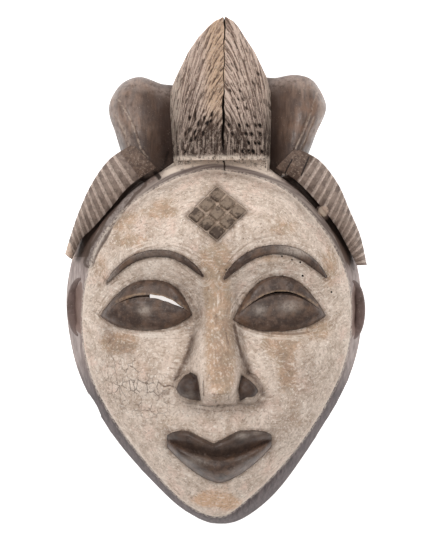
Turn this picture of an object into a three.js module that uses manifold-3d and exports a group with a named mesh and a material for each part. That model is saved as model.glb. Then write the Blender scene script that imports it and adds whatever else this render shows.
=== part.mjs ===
// A white-faced Punu mask carved from one block of wood, hollow behind.
// Millimetres. X runs across the face, Y up to the crest, Z out of the face.
// The mask lies on its flat back rim, which is the plane Z = 0.
import * as THREE from 'three';
import { mergeVertices } from 'three/addons/utils/BufferGeometryUtils.js';
import Module from 'manifold-3d';

const wasm = await Module();
wasm.setup();

// Hollow back
const wall = 9;
const rimWidth = 9;
const hollowPower = 5;

// Outlines seen from the front, about one centre
const centre = [1, -38];
const faceOutline = [
  [5, 64], [-19, 61], [-40, 51], [-57, 38], [-72, 17], [-80, -16], [-78, -48], [-67, -76], [-46, -106],
  [-20, -134], [1, -143.5], [18, -134], [44, -108], [66, -76], [79, -44], [80, -6], [66, 26], [40, 53],
];
const rimOutline = [
  [4, 84], [-25, 79], [-48, 66], [-69, 45], [-84, 24], [-91.5, -8], [-89, -40], [-80, -68], [-60, -101],
  [-31, -133], [-14, -146], [1, -151], [18, -147], [40, -128], [66, -90], [82, -60], [89, -30], [87.4, 3],
  [78.5, 27], [56, 55], [32, 76],
];

// Dome of the face: height of its edge, and height along its middle from chin to crown
const edge = { side: 41, tilt: 3, ends: 6 };
const domePower = 4;
const middle = [[-150, 73], [-128, 76], [-105, 77], [-80, 74], [-45, 71], [-14, 70], [12, 80], [40, 87], [70, 84]];

// Side wall from the face edge to the rim: share of the way across, share of the way down
const jawWall = [[0.3, 0.12], [0.62, 0.4], [0.88, 0.72], [1, 1]];
// Above the ears a band runs along the face edge, with a hollow behind it
const bandWall = [[0.36, 0.08], [0.46, 0.3], [0.8, 0.52], [1, 1]];
const bandFrom = 8;
const bandTo = 30;

// Heavy eyelids, each an almond between two corners, cut by a slit
const eyes = [
  {
    outer: [-69.3, -22.8], inner: [-14.2, -22.2], upper: 21, lower: 9, outerPower: 2, innerPower: 3.5,
    line: { rise: 11.5, from: -0.66, to: 0.93 }, slit: { from: 0.08, to: 0.8, wide: 2.6, slant: 0, blunt: 0.3 },
  },
  {
    outer: [65.7, -22.8], inner: [10.1, -25.2], upper: 25, lower: 8, outerPower: 2, innerPower: 2.5,
    line: { rise: 14.5, from: -0.84, to: 0.86 }, slit: { from: -0.6, to: 0.6, wide: 1.4, slant: 9, blunt: 0.06 },
  },
];
const lid = { bulge: 8.5, lowerPower: 2.6, lineWidth: 1.2, lineDepth: 2.2 };
const socket = { halfWidth: 37, halfHeight: 25, depth: 7, lift: 6 };

// Arched brows: two ends, rise of the arch over them, width of the band
const brows = [
  { outer: [-65.5, -3.5], inner: [-7, 0], rise: 16, width: 4.2 },
  { outer: [66, 0], inner: [4.7, -1], rise: 17, width: 5.6 },
];
const brow = { relief: 2, archPower: 2.2, endTaper: 0.8 };

// Nose with a flat ridge between sloping sides, its half widths from root to base, and two wings
const nose = { x: 1, root: 4, tip: -68, base: -76, rise: 27, flatness: 2.8 };
const noseHalf = [[-76, 11.5], [-70, 13.5], [-62, 16], [-54, 18], [-40, 16], [-20, 13], [4, 9]];
const wings = [{ at: [-15.5, -65], half: [9.5, 9] }, { at: [18, -66], half: [9.5, 9] }];
const wingRise = 14;

// Lips between an upper edge, a middle line and a lower edge
const mouth = { x: 2, half: 31 };
const lips = {
  top: -90.5, dip: 7.8, dipX: -1.5, dipHalf: 15.5, line: -106.5, lineRise: 10, linePower: 1.5,
  bottom: -122, bottomRise: 21, bottomPower: 1.6, upperRelief: 5.5, lowerRelief: 7.5, endTaper: 0.8, cornerDrop: 3,
  upperLean: 2.2, lowerLean: 1.3,
};

// Lozenge of nine scales on the forehead
const lozenge = { middle: [0.6, 38], sideA: [18.3, 18.3], sideB: [18.3, -15], rows: 3, relief: 2.4, gap: 1 };

// Middle crest: half widths from base to apex, with a ridge and slanting cuts
const crest = {
  ridgeX: [4, 5.2], bottom: 52, base: 70, top: 157.5,
  left: [[52, 27], [70, 30], [100, 32.5], [112, 32.5], [120, 29.5], [136, 22], [145, 16], [152, 9.5], [157.5, 3]],
  right: [[52, 27], [70, 28], [100, 28.5], [112, 28], [120, 26], [136, 18.5], [145, 12.5], [152, 8], [157.5, 3]],
  ledge: 47, frontBase: 63, frontTop: 41, frontPower: 1.8, shoulder: 0.86, shoulderDrop: 9, sideDrop: 22,
  topThinning: 0.55,
  backBase: 12, backTop: 27, backWidth: 0.85, cuts: 19, cutDepth: 1.1, cutDrop: 1,
};
const crack = {
  deep: 7,
  widths: [[76, 1.2], [86, 3.2], [104, 2.6], [112, 0.9], [140, 0.9], [162, 2.4]],
};

// Rounded side lobes
const lobes = [
  {
    outline: [[-20, 112], [-34, 117.5], [-46, 121.5], [-57, 117.5], [-64, 107], [-64.5, 98], [-61, 87.5],
      [-57, 75], [-52, 66], [-45, 59], [-36, 56], [-24, 58], [-16, 80]],
    middle: [-40, 90], ridge: [[-57, 108], [-45, 62]], valleyX: -24,
  },
  {
    outline: [[22, 117], [37, 121], [49, 122.7], [59, 119], [66, 107], [66, 99], [61, 88], [56, 75],
      [51, 64], [44, 57], [36, 55], [24, 58], [18, 80]],
    middle: [42, 90], ridge: [[58, 107], [45, 62]], valleyX: 28,
  },
];
const lobe = { front: 48, valley: 34, side: 27, back: 11 };

// Braids beside the temples, between an outer and an inner edge, grooved after a plain start
const braids = [
  {
    outer: [[-50, 80], [-64, 71], [-75, 56], [-83, 38.5], [-88.5, 22.5], [-91, 14]],
    inner: [[-36, 66], [-52, 55], [-62, 43.5], [-74, 30], [-81.5, 22.5], [-87, 11]],
    cuts: 15, plain: 0.11,
  },
  {
    outer: [[48, 78], [62.5, 70], [73.5, 56], [80, 41.5], [87, 25], [91, 7.5]],
    inner: [[36, 66], [49, 57.5], [62, 44], [72.5, 30.5], [79.3, 18.4], [85, 7.4]],
    cuts: 17, plain: 0.14,
  },
];
const braid = { front: 49, tipFront: 40, back: 6, tipBack: 18, crown: 5, cutDepth: 1.5, lean: 0.12 };

// Ears: rolls on the side walls, curved like a C that opens towards the face
const ears = [{ tipX: -80.5, backX: -87.3, y: -18 }, { tipX: 81, backX: 87.3, y: -19.5 }];
const ear = { halfHeight: 17, tipZ: 37, depth: 14, radius: 3.3 };

// Chip out of the rim near the left jaw
const chip = { from: [-82, -70], to: [-70.5, -90], middle: [-74, -78], radius: 3.6, height: 12 };

// Fineness of the facets
const headSides = 60;
const domeShares = [0.97, 0.92, 0.86, 0.8, 0.74, 0.68, 0.62, 0.56, 0.5, 0.43, 0.34, 0.2];
const hollowSides = 36;
const hollowShares = [1, 0.95, 0.88, 0.79, 0.67, 0.5, 0.25];
// How deep carved features are set in the dome, at their feet and at their edges
const bury = 4;
const seat = 0.3;
// Rounded ends of carved features stop this share short, so that no facet shrinks to nothing
const endGap = 0.006;

const clamp = THREE.MathUtils.clamp;
const lerp = THREE.MathUtils.lerp;
const smooth = THREE.MathUtils.smoothstep;

function along(table, x) {
  const next = table.findIndex(([at]) => at > x);
  if (next === 0) return table[0][1];
  if (next < 0) return table.at(-1)[1];
  const [x0, y0] = table[next - 1];
  const [x1, y1] = table[next];
  return lerp(y0, y1, (x - x0) / (x1 - x0));
}

function curveThrough(points, closed) {
  return new THREE.CatmullRomCurve3(points.map(([x, y]) => new THREE.Vector3(x, y, 0)), closed, 'catmullrom');
}

// Distance from a centre to a closed outline in any direction
function radiusFinder(outline, [cx, cy]) {
  const samples = curveThrough(outline, true).getPoints(outline.length * 16).slice(1);
  const table = samples.map((p) => [Math.atan2(p.y - cy, p.x - cx), Math.hypot(p.x - cx, p.y - cy)]);
  table.sort((a, b) => a[0] - b[0]);
  const [first, last] = [table[0], table.at(-1)];
  table.unshift([last[0] - 2 * Math.PI, last[1]]);
  table.push([first[0] + 2 * Math.PI, first[1]]);
  return (angle) => along(table, angle);
}

const faceRadius = radiusFinder(faceOutline, centre);
const rimRadius = radiusFinder(rimOutline, centre);
const middleCurve = curveThrough(middle, false).getPoints(middle.length * 8).map((p) => [p.x, p.y]);

function outFrom(radius, x, y) {
  const angle = Math.atan2(y - centre[1], x - centre[0]);
  return [Math.hypot(x - centre[0], y - centre[1]) / radius(angle), angle];
}

// Height of the face before lids, nose, lips and brows are set on it
function domeHeight(x, y) {
  const [out, angle] = outFrom(faceRadius, x, y);
  const rise = Math.sin(angle);
  const low = edge.side + edge.tilt * rise + edge.ends * rise * rise;
  const dome = low + (along(middleCurve, y) - low) * (1 - out ** domePower);
  return eyes.reduce((height, eye) => height - socketDepth(eye, x, y), dome);
}

function socketDepth({ outer, inner }, x, y) {
  const across = (x - (outer[0] + inner[0]) / 2) / socket.halfWidth;
  const up = (y - (outer[1] + inner[1]) / 2 - socket.lift) / socket.halfHeight;
  return socket.depth * Math.exp(-((across ** 2 + up ** 2) ** 2));
}

// Turns loose triangles of points into one closed solid
function solidFrom(triangles) {
  const geometry = new THREE.BufferGeometry().setFromPoints(triangles.flat());
  return solidOf(mergeVertices(geometry));
}

function solidOf(merged) {
  const mesh = new wasm.Mesh({
    numProp: 3,
    vertProperties: new Float32Array(merged.attributes.position.array),
    triVerts: new Uint32Array(merged.index.array),
  });
  const solid = new wasm.Manifold(mesh);
  return solid.volume() < 0 ? new wasm.Manifold(flipped(mesh)) : solid;
}

function flipped(mesh) {
  const triVerts = mesh.triVerts.slice();
  for (let i = 0; i < triVerts.length; i += 3) [triVerts[i], triVerts[i + 1]] = [triVerts[i + 1], triVerts[i]];
  return new wasm.Mesh({ numProp: 3, vertProperties: mesh.vertProperties, triVerts });
}

// Skin over rings of points, closed at both ends
function loft(rings) {
  const triangles = [];
  rings.slice(1).forEach((ring, k) => ring.forEach((point, i) => {
    const next = (i + 1) % ring.length;
    const below = rings[k];
    triangles.push([below[i], below[next], ring[next]], [below[i], ring[next], point]);
  }));
  const cap = (ring, turn) => {
    const middlePoint = ring.reduce((sum, p) => sum.add(p), new THREE.Vector3()).divideScalar(ring.length);
    ring.forEach((p, i) => {
      const q = ring[(i + 1) % ring.length];
      triangles.push(turn ? [p, q, middlePoint] : [q, p, middlePoint]);
    });
  };
  cap(rings[0], false);
  cap(rings.at(-1), true);
  return solidFrom(triangles);
}

// Carving set on the dome: place(share, t) gives x, y and height over the dome, share and t from 0 to 1
function relief(rows, across, place) {
  const ring = (share) => {
    const front = Array.from({ length: across + 1 }, (_, k) => {
      const [x, y, over] = place(share, k / across);
      return new THREE.Vector3(x, y, domeHeight(x, y) + over);
    });
    const feet = [front.at(-1), front[0]].map(({ x, y }) => new THREE.Vector3(x, y, domeHeight(x, y) - bury));
    return [...front, ...feet];
  };
  return loft(Array.from({ length: rows + 1 }, (_, k) => ring(k / rows)));
}

// Runs from 0 to 1 with close steps at both ends, and stops short of the very ends
function eased(t) {
  return 0.5 - (0.5 - endGap / 2) * Math.cos(Math.PI * t);
}

// Height of a half circle over a span that runs from 0 to 1
function bulge(t) {
  return Math.sqrt(1 - (2 * t - 1) ** 2);
}

function roundRing(radius, share, height, sides = headSides) {
  return Array.from({ length: sides }, (_, i) => {
    const angle = -Math.PI + 2 * Math.PI * i / sides;
    const reach = share * radius(angle);
    const [x, y] = [centre[0] + reach * Math.cos(angle), centre[1] + reach * Math.sin(angle)];
    return new THREE.Vector3(x, y, height(x, y));
  });
}

// The head: underside at the rim, side walls, then rings over the dome to its middle
function headSolid() {
  const faceEdge = roundRing(faceRadius, 1, domeHeight);
  const rim = roundRing(rimRadius, 1, () => 0);
  const walls = jawWall.map((_, k) => faceEdge.map((top, i) => {
    const banded = smooth(top.y, bandFrom, bandTo);
    const across = lerp(jawWall[k][0], bandWall[k][0], banded);
    const down = lerp(jawWall[k][1], bandWall[k][1], banded);
    return new THREE.Vector3(lerp(top.x, rim[i].x, across), lerp(top.y, rim[i].y, across), top.z * (1 - down));
  }));
  const dome = domeShares.map((share) => roundRing(faceRadius, share, domeHeight));
  return loft([...walls.toReversed(), faceEdge, ...dome]);
}

// The hollow behind the face: a smooth dome one wall below it
function hollowSolid() {
  const innerRadius = (angle) => rimRadius(angle) - rimWidth;
  const height = (x, y) => {
    const [out] = outFrom(innerRadius, x, y);
    return (along(middleCurve, y) - socket.depth - wall) * (1 - Math.min(out, 1) ** hollowPower);
  };
  const openDepth = 3;
  const openRing = roundRing(innerRadius, 1, () => -openDepth, hollowSides);
  const rings = hollowShares.map((share) => roundRing(innerRadius, share, height, hollowSides));
  return loft([openRing, ...rings]);
}

// Places in an eye run from -1 at its outer corner to 1 at its inner corner
function onCornerLine({ outer, inner }, place) {
  return [0, 1].map((axis) => lerp(outer[axis], inner[axis], (place + 1) / 2));
}

function lidSwell(place) {
  return lid.bulge * Math.sqrt(1 - place ** 4);
}

// An eyelid: an almond that bulges between its two corners
function lidSolid(eye) {
  return relief(14, 7, (share, t) => {
    const place = eased(share) * 2 - 1;
    const power = place > 0 ? eye.innerPower : eye.outerPower;
    const top = eye.upper * (1 - Math.abs(place) ** power);
    const bottom = -eye.lower * (1 - Math.abs(place) ** lid.lowerPower);
    const [x, y] = onCornerLine(eye, place);
    const across = eased(t);
    return [x, y + lerp(bottom, top, across), lidSwell(place) * bulge(across) - seat];
  });
}

// A brow: a flat raised band on an arch
function browSolid({ outer, inner, rise, width }) {
  const profile = [[-1, -0.2], [-0.7, 1], [0.7, 1], [1, -0.2]];
  return relief(12, profile.length - 1, (share, t) => {
    const place = share * 2 - 1;
    const x = lerp(outer[0], inner[0], share);
    const arch = lerp(outer[1], inner[1], share) + rise * (1 - Math.abs(place) ** brow.archPower);
    const fall = rise * brow.archPower * Math.abs(place) ** (brow.archPower - 1) * Math.sign(place);
    const turn = Math.atan(-2 * fall / (inner[0] - outer[0]));
    const [side, up] = profile[Math.round(t * (profile.length - 1))];
    const half = width / 2 * (1 - brow.endTaper * place ** 6);
    return [x - side * half * Math.sin(turn), arch + side * half * Math.cos(turn), brow.relief * up];
  });
}

// The nose: a ridge that widens and rises towards its tip
function noseSolid() {
  const stations = [0, 0.12, 0.25, 0.4, 0.55, 0.7, 0.82, 0.92, 1, 1.05, 1.1];
  return relief(stations.length - 1, 10, (share, t) => {
    const down = stations[Math.round(share * (stations.length - 1))];
    const y = lerp(nose.root, nose.tip, down);
    const half = along(noseHalf, y);
    const side = 2 * t - 1;
    const under = clamp((y - nose.base) / (nose.tip - nose.base), 0, 1) ** 0.5;
    const ridge = nose.rise * Math.min(down, 1) ** 1.2 * under;
    return [nose.x + side * half, y, ridge * (1 - Math.abs(side) ** nose.flatness) - seat];
  });
}

function wingSolid({ at, half }) {
  return relief(7, 7, (share, t) => {
    const [down, side] = [2 * eased(share) - 1, 2 * eased(t) - 1];
    const width = Math.sqrt(1 - down ** 2);
    const over = wingRise * width * Math.sqrt(1 - side ** 2);
    return [at[0] + half[0] * width * side, at[1] - half[1] * down, over - seat];
  });
}

// A lip lies between two of the mouth's three lines
function lipSolid(isUpper) {
  return relief(14, 5, (share, t) => {
    const side = 2 * eased(share) - 1;
    const x = mouth.x + mouth.half * side;
    const out = Math.abs(side);
    const line = lips.line + lips.lineRise * out ** lips.linePower;
    const dip = lips.dip * Math.max(0, 1 - Math.abs((x - lips.dipX) / lips.dipHalf));
    const top = lips.top - dip - lips.cornerDrop * out ** 8;
    const bottom = lips.bottom + lips.bottomRise * out ** lips.bottomPower;
    const across = eased(t);
    const y = isUpper ? lerp(line, top, across) : lerp(bottom, line, across);
    const rise = isUpper ? lips.upperRelief : lips.lowerRelief;
    const lean = isUpper ? lips.upperLean : lips.lowerLean;
    return [x, y, rise * bulge(across ** lean) * (1 - lips.endTaper * out ** 5) - seat];
  });
}

// One scale of the lozenge, counted along its two sides
function scaleSolid(i, j) {
  const [a, b] = [new THREE.Vector2(...lozenge.sideA), new THREE.Vector2(...lozenge.sideB)];
  const start = new THREE.Vector2(...lozenge.middle).addScaledVector(a, -0.5).addScaledVector(b, -0.5);
  return relief(1, 1, (s, t) => {
    const inset = (side, n, u) => (n + u) / lozenge.rows + (0.5 - u) * lozenge.gap / side.length();
    const p = start.clone().addScaledVector(a, inset(a, i, s)).addScaledVector(b, inset(b, j, 1 - t));
    return [p.x, p.y, lozenge.relief];
  });
}

// A curved blade between the lids, from one depth to another
function bladeSolid(eye, { from, to, wide, slant, blunt }, heights) {
  const steps = 8;
  const ring = (lean, height) => {
    const side = (sign) => Array.from({ length: steps + 1 }, (_, k) => {
      const share = lerp(from, to, k / steps);
      const [x, y] = onCornerLine(eye, share);
      const open = wide * Math.sin(Math.PI * clamp(k / steps, blunt, 0.94)) / 2;
      const onLine = y + eye.line.rise * (1 - share ** 2);
      return new THREE.Vector3(x, onLine + sign * open + lean * slant, height(share, x, onLine));
    });
    return [...side(1), ...side(-1).reverse()];
  };
  return loft([ring(1, heights[0]), ring(0, heights[1])]);
}

// The slit goes through the wall, and slants where it can't be seen through from the front
function slitSolid(eye) {
  const [inside, clearOfLid] = [30, 2];
  const outside = (place, x, y) => domeHeight(x, y) + lidSwell(place) + clearOfLid;
  return bladeSolid(eye, eye.slit, [() => inside, outside]);
}

// The line between the lids is a groove that follows their swell
function lidLineSolid(eye) {
  const groove = { ...eye.line, wide: lid.lineWidth, slant: 0, blunt: 0.06 };
  const floor = (place, x, y) => domeHeight(x, y) + lidSwell(place) - lid.lineDepth;
  const clear = (place, x, y) => floor(place, x, y) + 3 * lid.lineDepth;
  return bladeSolid(eye, groove, [floor, clear]);
}

// A block of wood to cut away, from one corner to the other
function blockSolid(low, high) {
  const size = new THREE.Vector3().subVectors(high, low);
  const box = new THREE.BoxGeometry(size.x, size.y, size.z).translate(...low.clone().lerp(high, 0.5));
  box.deleteAttribute('normal');
  box.deleteAttribute('uv');
  return solidOf(mergeVertices(box));
}

// Height of the crest's ridge, and how far up the crest a point lies
function crestShare(y) {
  return clamp((y - crest.base) / (crest.top - crest.base), 0, 1);
}

function ridgeHeight(y) {
  return lerp(crest.frontBase, crest.frontTop, crestShare(y) ** crest.frontPower);
}

// The middle crest: rows slope down from the ridge to both edges, cut by slanting grooves
function crestSolid() {
  const rows = crest.cuts * 2;
  const shares = [0, 0.45, crest.shoulder, 1];
  const ring = (k) => {
    const ridgeY = lerp(crest.bottom, crest.top, (k / rows) ** 0.9);
    const width = along(crest.left, ridgeY);
    const ridgeX = lerp(crest.ridgeX[0], crest.ridgeX[1], crestShare(ridgeY));
    const cut = k % 2 === 1 ? crest.cutDepth : 0;
    const front = (side, share) => {
      const y = ridgeY - crest.cutDrop * width * share;
      const fall = share > crest.shoulder ? crest.sideDrop : crest.shoulderDrop * (share / crest.shoulder) ** 1.5;
      const shrink = 1 - crest.topThinning * crestShare(y) ** 4;
      const reach = along(side < 0 ? crest.left : crest.right, y) * share;
      return new THREE.Vector3(ridgeX + side * reach, y, ridgeHeight(y) - fall * shrink - cut);
    };
    const left = shares.toReversed().map((share) => front(-1, share));
    const right = shares.slice(1).map((share) => front(1, share));
    const back = [right.at(-1), left[0]].map((end) => {
      const x = lerp(ridgeX, end.x, crest.backWidth);
      return new THREE.Vector3(x, end.y, lerp(crest.backBase, crest.backTop, crestShare(ridgeY)));
    });
    return [...left, ...right, ...back];
  };
  const leaf = loft(Array.from({ length: rows + 1 }, (_, k) => ring(k)));
  const reach = 2 * crest.left[0][1];
  const nearLedge = new THREE.Vector3(-reach, 0, crest.ledge);
  return leaf.subtract(blockSolid(nearLedge, new THREE.Vector3(reach, crest.base, 2 * crest.frontBase)));
}

// The crack down the crest, a wedge that follows the ridge
function crackSolid() {
  const lift = 4;
  return loft(crack.widths.map(([y, width]) => {
    const x = lerp(crest.ridgeX[0], crest.ridgeX[1], crestShare(y));
    return [
      new THREE.Vector3(x - width / 2, y, ridgeHeight(y) + lift),
      new THREE.Vector3(x + width / 2, y, ridgeHeight(y) + lift),
      new THREE.Vector3(x, y, ridgeHeight(y) - crack.deep),
    ];
  }));
}

// A lobe: a rounded pillow whose front rises from the crest to a ridge near its outer side
function lobeSolid({ outline, middle: [cx, cy], ridge, valleyX }) {
  const radius = radiusFinder(outline, [cx, cy]);
  const sides = 24;
  const frontShares = [0.35, 0.62, 0.8, 0.92];
  const frontHeight = (x, y) => {
    const ridgeX = lerp(ridge[1][0], ridge[0][0], (y - ridge[1][1]) / (ridge[0][1] - ridge[1][1]));
    const inward = clamp((x - ridgeX) / (valleyX - ridgeX), 0, 1);
    return lerp(lobe.front, lobe.valley, smooth(inward, 0, 1));
  };
  const point = (share, i, side) => {
    const angle = -Math.PI + 2 * Math.PI * i / sides;
    const [x, y] = [cx + share * radius(angle) * Math.cos(angle), cy + share * radius(angle) * Math.sin(angle)];
    const full = side > 0 ? frontHeight(x, y) : lobe.back;
    return new THREE.Vector3(x, y, lerp(lobe.side, full, Math.sqrt(1 - share ** 3)));
  };
  const ring = (share, side) => Array.from({ length: sides }, (_, i) => point(share, i, side));
  return loft([
    ...frontShares.map((share) => ring(share, 1)), ring(1, 1), ring(0.85, -1), ring(0.5, -1),
  ]);
}

// A braid: ribs and grooves across a tapering roll
function braidSolid({ outer, inner, cuts, plain }) {
  const outerCurve = curveThrough(outer, false);
  const innerCurve = curveThrough(inner, false);
  const rings = cuts * 2 + 1;
  return loft(Array.from({ length: rings }, (_, k) => {
    const share = k / (rings - 1);
    const further = share + braid.lean * Math.sin(Math.PI * share);
    const [o, i] = [outerCurve.getPointAt(share), innerCurve.getPointAt(Math.min(further, 1))];
    const cut = k % 2 === 1 && share > plain ? braid.cutDepth : 0;
    const front = lerp(braid.front, braid.tipFront, share) - cut;
    const back = lerp(braid.back, braid.tipBack, share);
    const across = (t, z) => new THREE.Vector3(lerp(o.x, i.x, t), lerp(o.y, i.y, t), z);
    const over = [0, 0.28, 0.6, 0.88, 1].map((t) => across(t, front - braid.crown * (2 * t - 1) ** 2));
    const under = [0.9, 0.5, 0.1].map((t) => across(t, back + braid.crown * (2 * t - 1) ** 2));
    return [...over, ...under];
  }));
}

// An ear: a roll that thins towards both ends
function earSolid({ tipX, backX, y }) {
  const [steps, sides] = [12, 6];
  const path = Array.from({ length: steps + 1 }, (_, k) => {
    const turn = Math.PI * k / steps;
    const back = Math.sin(turn);
    return new THREE.Vector3(lerp(tipX, backX, back), y + ear.halfHeight * Math.cos(turn), ear.tipZ - ear.depth * back);
  });
  const curve = new THREE.CatmullRomCurve3(path);
  const frames = curve.computeFrenetFrames(steps, false);
  return loft(Array.from({ length: steps + 1 }, (_, k) => {
    const p = curve.getPointAt(k / steps);
    const radius = ear.radius * Math.sqrt(Math.sin(Math.PI * clamp(k / steps, 0.04, 0.96)));
    return Array.from({ length: sides }, (__, i) => {
      const turn = 2 * Math.PI * i / sides;
      return p.clone()
        .addScaledVector(frames.normals[k], radius * Math.cos(turn))
        .addScaledVector(frames.binormals[k], radius * Math.sin(turn));
    });
  }));
}

// The chip: a short rough wedge taken from the rim's outer edge
function chipSolid() {
  const sides = 7;
  const ring = ([x, y], radius) => Array.from({ length: sides }, (_, i) => {
    const turn = 2 * Math.PI * i / sides;
    const out = radius * Math.cos(turn);
    return new THREE.Vector3(x + out * 0.8, y + out * 0.5, chip.height * (Math.sin(turn) + 0.6));
  });
  return loft([ring(chip.from, 1), ring(chip.middle, chip.radius), ring(chip.to, 1)]);
}

function geometryOf(solid) {
  const mesh = solid.getMesh();
  const geometry = new THREE.BufferGeometry();
  geometry.setAttribute('position', new THREE.BufferAttribute(mesh.vertProperties, 3));
  geometry.setIndex(new THREE.BufferAttribute(mesh.triVerts, 1));
  geometry.computeVertexNormals();
  return geometry;
}

function maskSolid() {
  const scales = Array.from({ length: lozenge.rows ** 2 }, (_, k) => (
    scaleSolid(k % lozenge.rows, Math.floor(k / lozenge.rows))
  ));
  const carved = [
    ...eyes.map(lidSolid), ...brows.map(browSolid), noseSolid(), ...wings.map(wingSolid),
    lipSolid(true), lipSolid(false), ...scales,
    crestSolid(), ...lobes.map(lobeSolid), ...braids.map(braidSolid), ...ears.map(earSolid),
  ];
  const cut = [hollowSolid(), crackSolid(), chipSolid(), ...eyes.map(slitSolid), ...eyes.map(lidLineSolid)];
  const whole = carved.reduce((solid, piece) => solid.add(piece), headSolid());
  return cut.reduce((solid, piece) => solid.subtract(piece), whole);
}

const wood = new THREE.MeshStandardMaterial({ color: 0xb3a292, roughness: 0.75, metalness: 0 });
const mask = new THREE.Mesh(geometryOf(maskSolid()), wood);
mask.name = 'mask';

// The origin is the middle of the mask's footprint
const box = new THREE.Box3().setFromObject(mask);
mask.position.set(-(box.min.x + box.max.x) / 2, -(box.min.y + box.max.y) / 2, 0);

const group = new THREE.Group();
group.add(mask);

export default group;
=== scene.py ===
import math

import bpy
import numpy as np
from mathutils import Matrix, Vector


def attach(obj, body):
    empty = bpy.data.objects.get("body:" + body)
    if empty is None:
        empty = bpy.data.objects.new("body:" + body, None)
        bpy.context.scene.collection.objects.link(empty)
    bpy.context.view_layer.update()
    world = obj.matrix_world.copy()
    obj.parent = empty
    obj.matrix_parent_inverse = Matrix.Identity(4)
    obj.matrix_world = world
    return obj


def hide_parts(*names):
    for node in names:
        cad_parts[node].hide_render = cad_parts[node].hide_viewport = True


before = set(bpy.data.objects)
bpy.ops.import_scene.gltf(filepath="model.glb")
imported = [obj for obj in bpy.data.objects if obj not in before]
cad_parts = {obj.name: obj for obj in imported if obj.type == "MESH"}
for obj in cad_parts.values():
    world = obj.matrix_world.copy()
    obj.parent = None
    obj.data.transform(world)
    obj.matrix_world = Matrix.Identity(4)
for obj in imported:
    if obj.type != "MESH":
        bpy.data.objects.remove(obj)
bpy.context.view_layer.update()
rng = np.random.default_rng(7)

MM = 0.001
# Carver's coordinates to the frame's
SHIFT = np.array([0.3347, -3.1233, 0.0])

# Hollow back
wall = 9
rim_width = 9
hollow_power = 5

# Outlines seen from the front, about one centre
centre = np.array([1.0, -38.0])
face_outline = [
    [5, 64], [-19, 61], [-40, 51], [-57, 38], [-72, 17], [-80, -16], [-78, -48], [-67, -76], [-46, -106],
    [-20, -134], [1, -143.5], [18, -134], [44, -108], [66, -76], [79, -44], [80, -6], [66, 26], [40, 53],
]
rim_outline = [
    [4, 84], [-25, 79], [-48, 66], [-69, 45], [-84, 24], [-91.5, -8], [-89, -40], [-80, -68], [-60, -101],
    [-31, -133], [-14, -146], [1, -151], [18, -147], [40, -128], [66, -90], [82, -60], [89, -30], [87.4, 3],
    [78.5, 27], [56, 55], [32, 76],
]

# Dome of the face: height of its edge, and height along its middle from chin to crown
edge = dict(side=41, tilt=3, ends=6)
dome_power = 4
middle = [[-150, 73], [-128, 76], [-105, 77], [-80, 74], [-45, 71], [-14, 70], [12, 80], [40, 87], [70, 84]]

# Side wall from the face edge to the rim: share of the way across, share of the way down
jaw_wall = [[0, 0], [0.3, 0.12], [0.62, 0.4], [0.88, 0.72], [1, 1]]
band_wall = [[0, 0], [0.36, 0.08], [0.46, 0.3], [0.8, 0.52], [1, 1]]
band_from = 8
band_to = 30

eyes = [
    dict(outer=(-69.3, -22.8), inner=(-14.2, -22.2), upper=21, lower=9, outer_power=2, inner_power=3.5,
         line=dict(rise=11.5, start=-0.66, end=0.93),
         slit=dict(start=0.08, end=0.8, wide=2.6, slant=0, blunt=0.3)),
    dict(outer=(65.7, -22.8), inner=(10.1, -25.2), upper=25, lower=8, outer_power=2, inner_power=2.5,
         line=dict(rise=14.5, start=-0.84, end=0.86),
         slit=dict(start=-0.6, end=0.6, wide=1.4, slant=9, blunt=0.06)),
]
lid = dict(bulge=8.5, lower_power=2.6, line_width=1.2, line_depth=2.2)
socket = dict(half_width=37, half_height=25, depth=7, lift=6)

brows = [
    dict(outer=(-65.5, -3.5), inner=(-7, 0), rise=16, width=4.2),
    dict(outer=(66, 0), inner=(4.7, -1), rise=17, width=5.6),
]
brow = dict(relief=2, arch_power=2.2, end_taper=0.8)

nose = dict(x=1, root=4, tip=-68, base=-76, rise=27, flatness=2.8)
nose_half = [[-76, 11.5], [-70, 13.5], [-62, 16], [-54, 18], [-40, 16], [-20, 13], [4, 9]]
wings = [((-15.5, -65), (9.5, 9)), ((18, -66), (9.5, 9))]
wing_rise = 14

mouth = dict(x=2, half=31)
lips = dict(top=-90.5, dip=7.8, dip_x=-1.5, dip_half=15.5, line=-106.5, line_rise=10, line_power=1.5,
            bottom=-122, bottom_rise=21, bottom_power=1.6, upper_relief=5.5, lower_relief=7.5,
            end_taper=0.8, corner_drop=3, upper_lean=2.2, lower_lean=1.3)

lozenge = dict(middle=(0.6, 38), side_a=(18.3, 18.3), side_b=(18.3, -15), rows=3, relief=2.4, gap=1)

crest = dict(
    ridge_x=(4, 5.2), bottom=52, base=70, top=157.5,
    left=[[52, 27], [70, 30], [100, 32.5], [112, 32.5], [120, 29.5],
          [136, 22], [145, 16], [152, 9.5], [157.5, 3]],
    right=[[52, 27], [70, 28], [100, 28.5], [112, 28], [120, 26],
           [136, 18.5], [145, 12.5], [152, 8], [157.5, 3]],
    ledge=47, front_base=63, front_top=41, front_power=1.8, shoulder=0.86, shoulder_drop=9, side_drop=22,
    top_thinning=0.55, back_base=12, back_top=27, back_width=0.85, cut_drop=1,
)
crack = dict(deep=7, widths=[[76, 1.2], [86, 3.2], [104, 2.6], [112, 0.9], [140, 0.9], [162, 2.4]])

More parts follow.
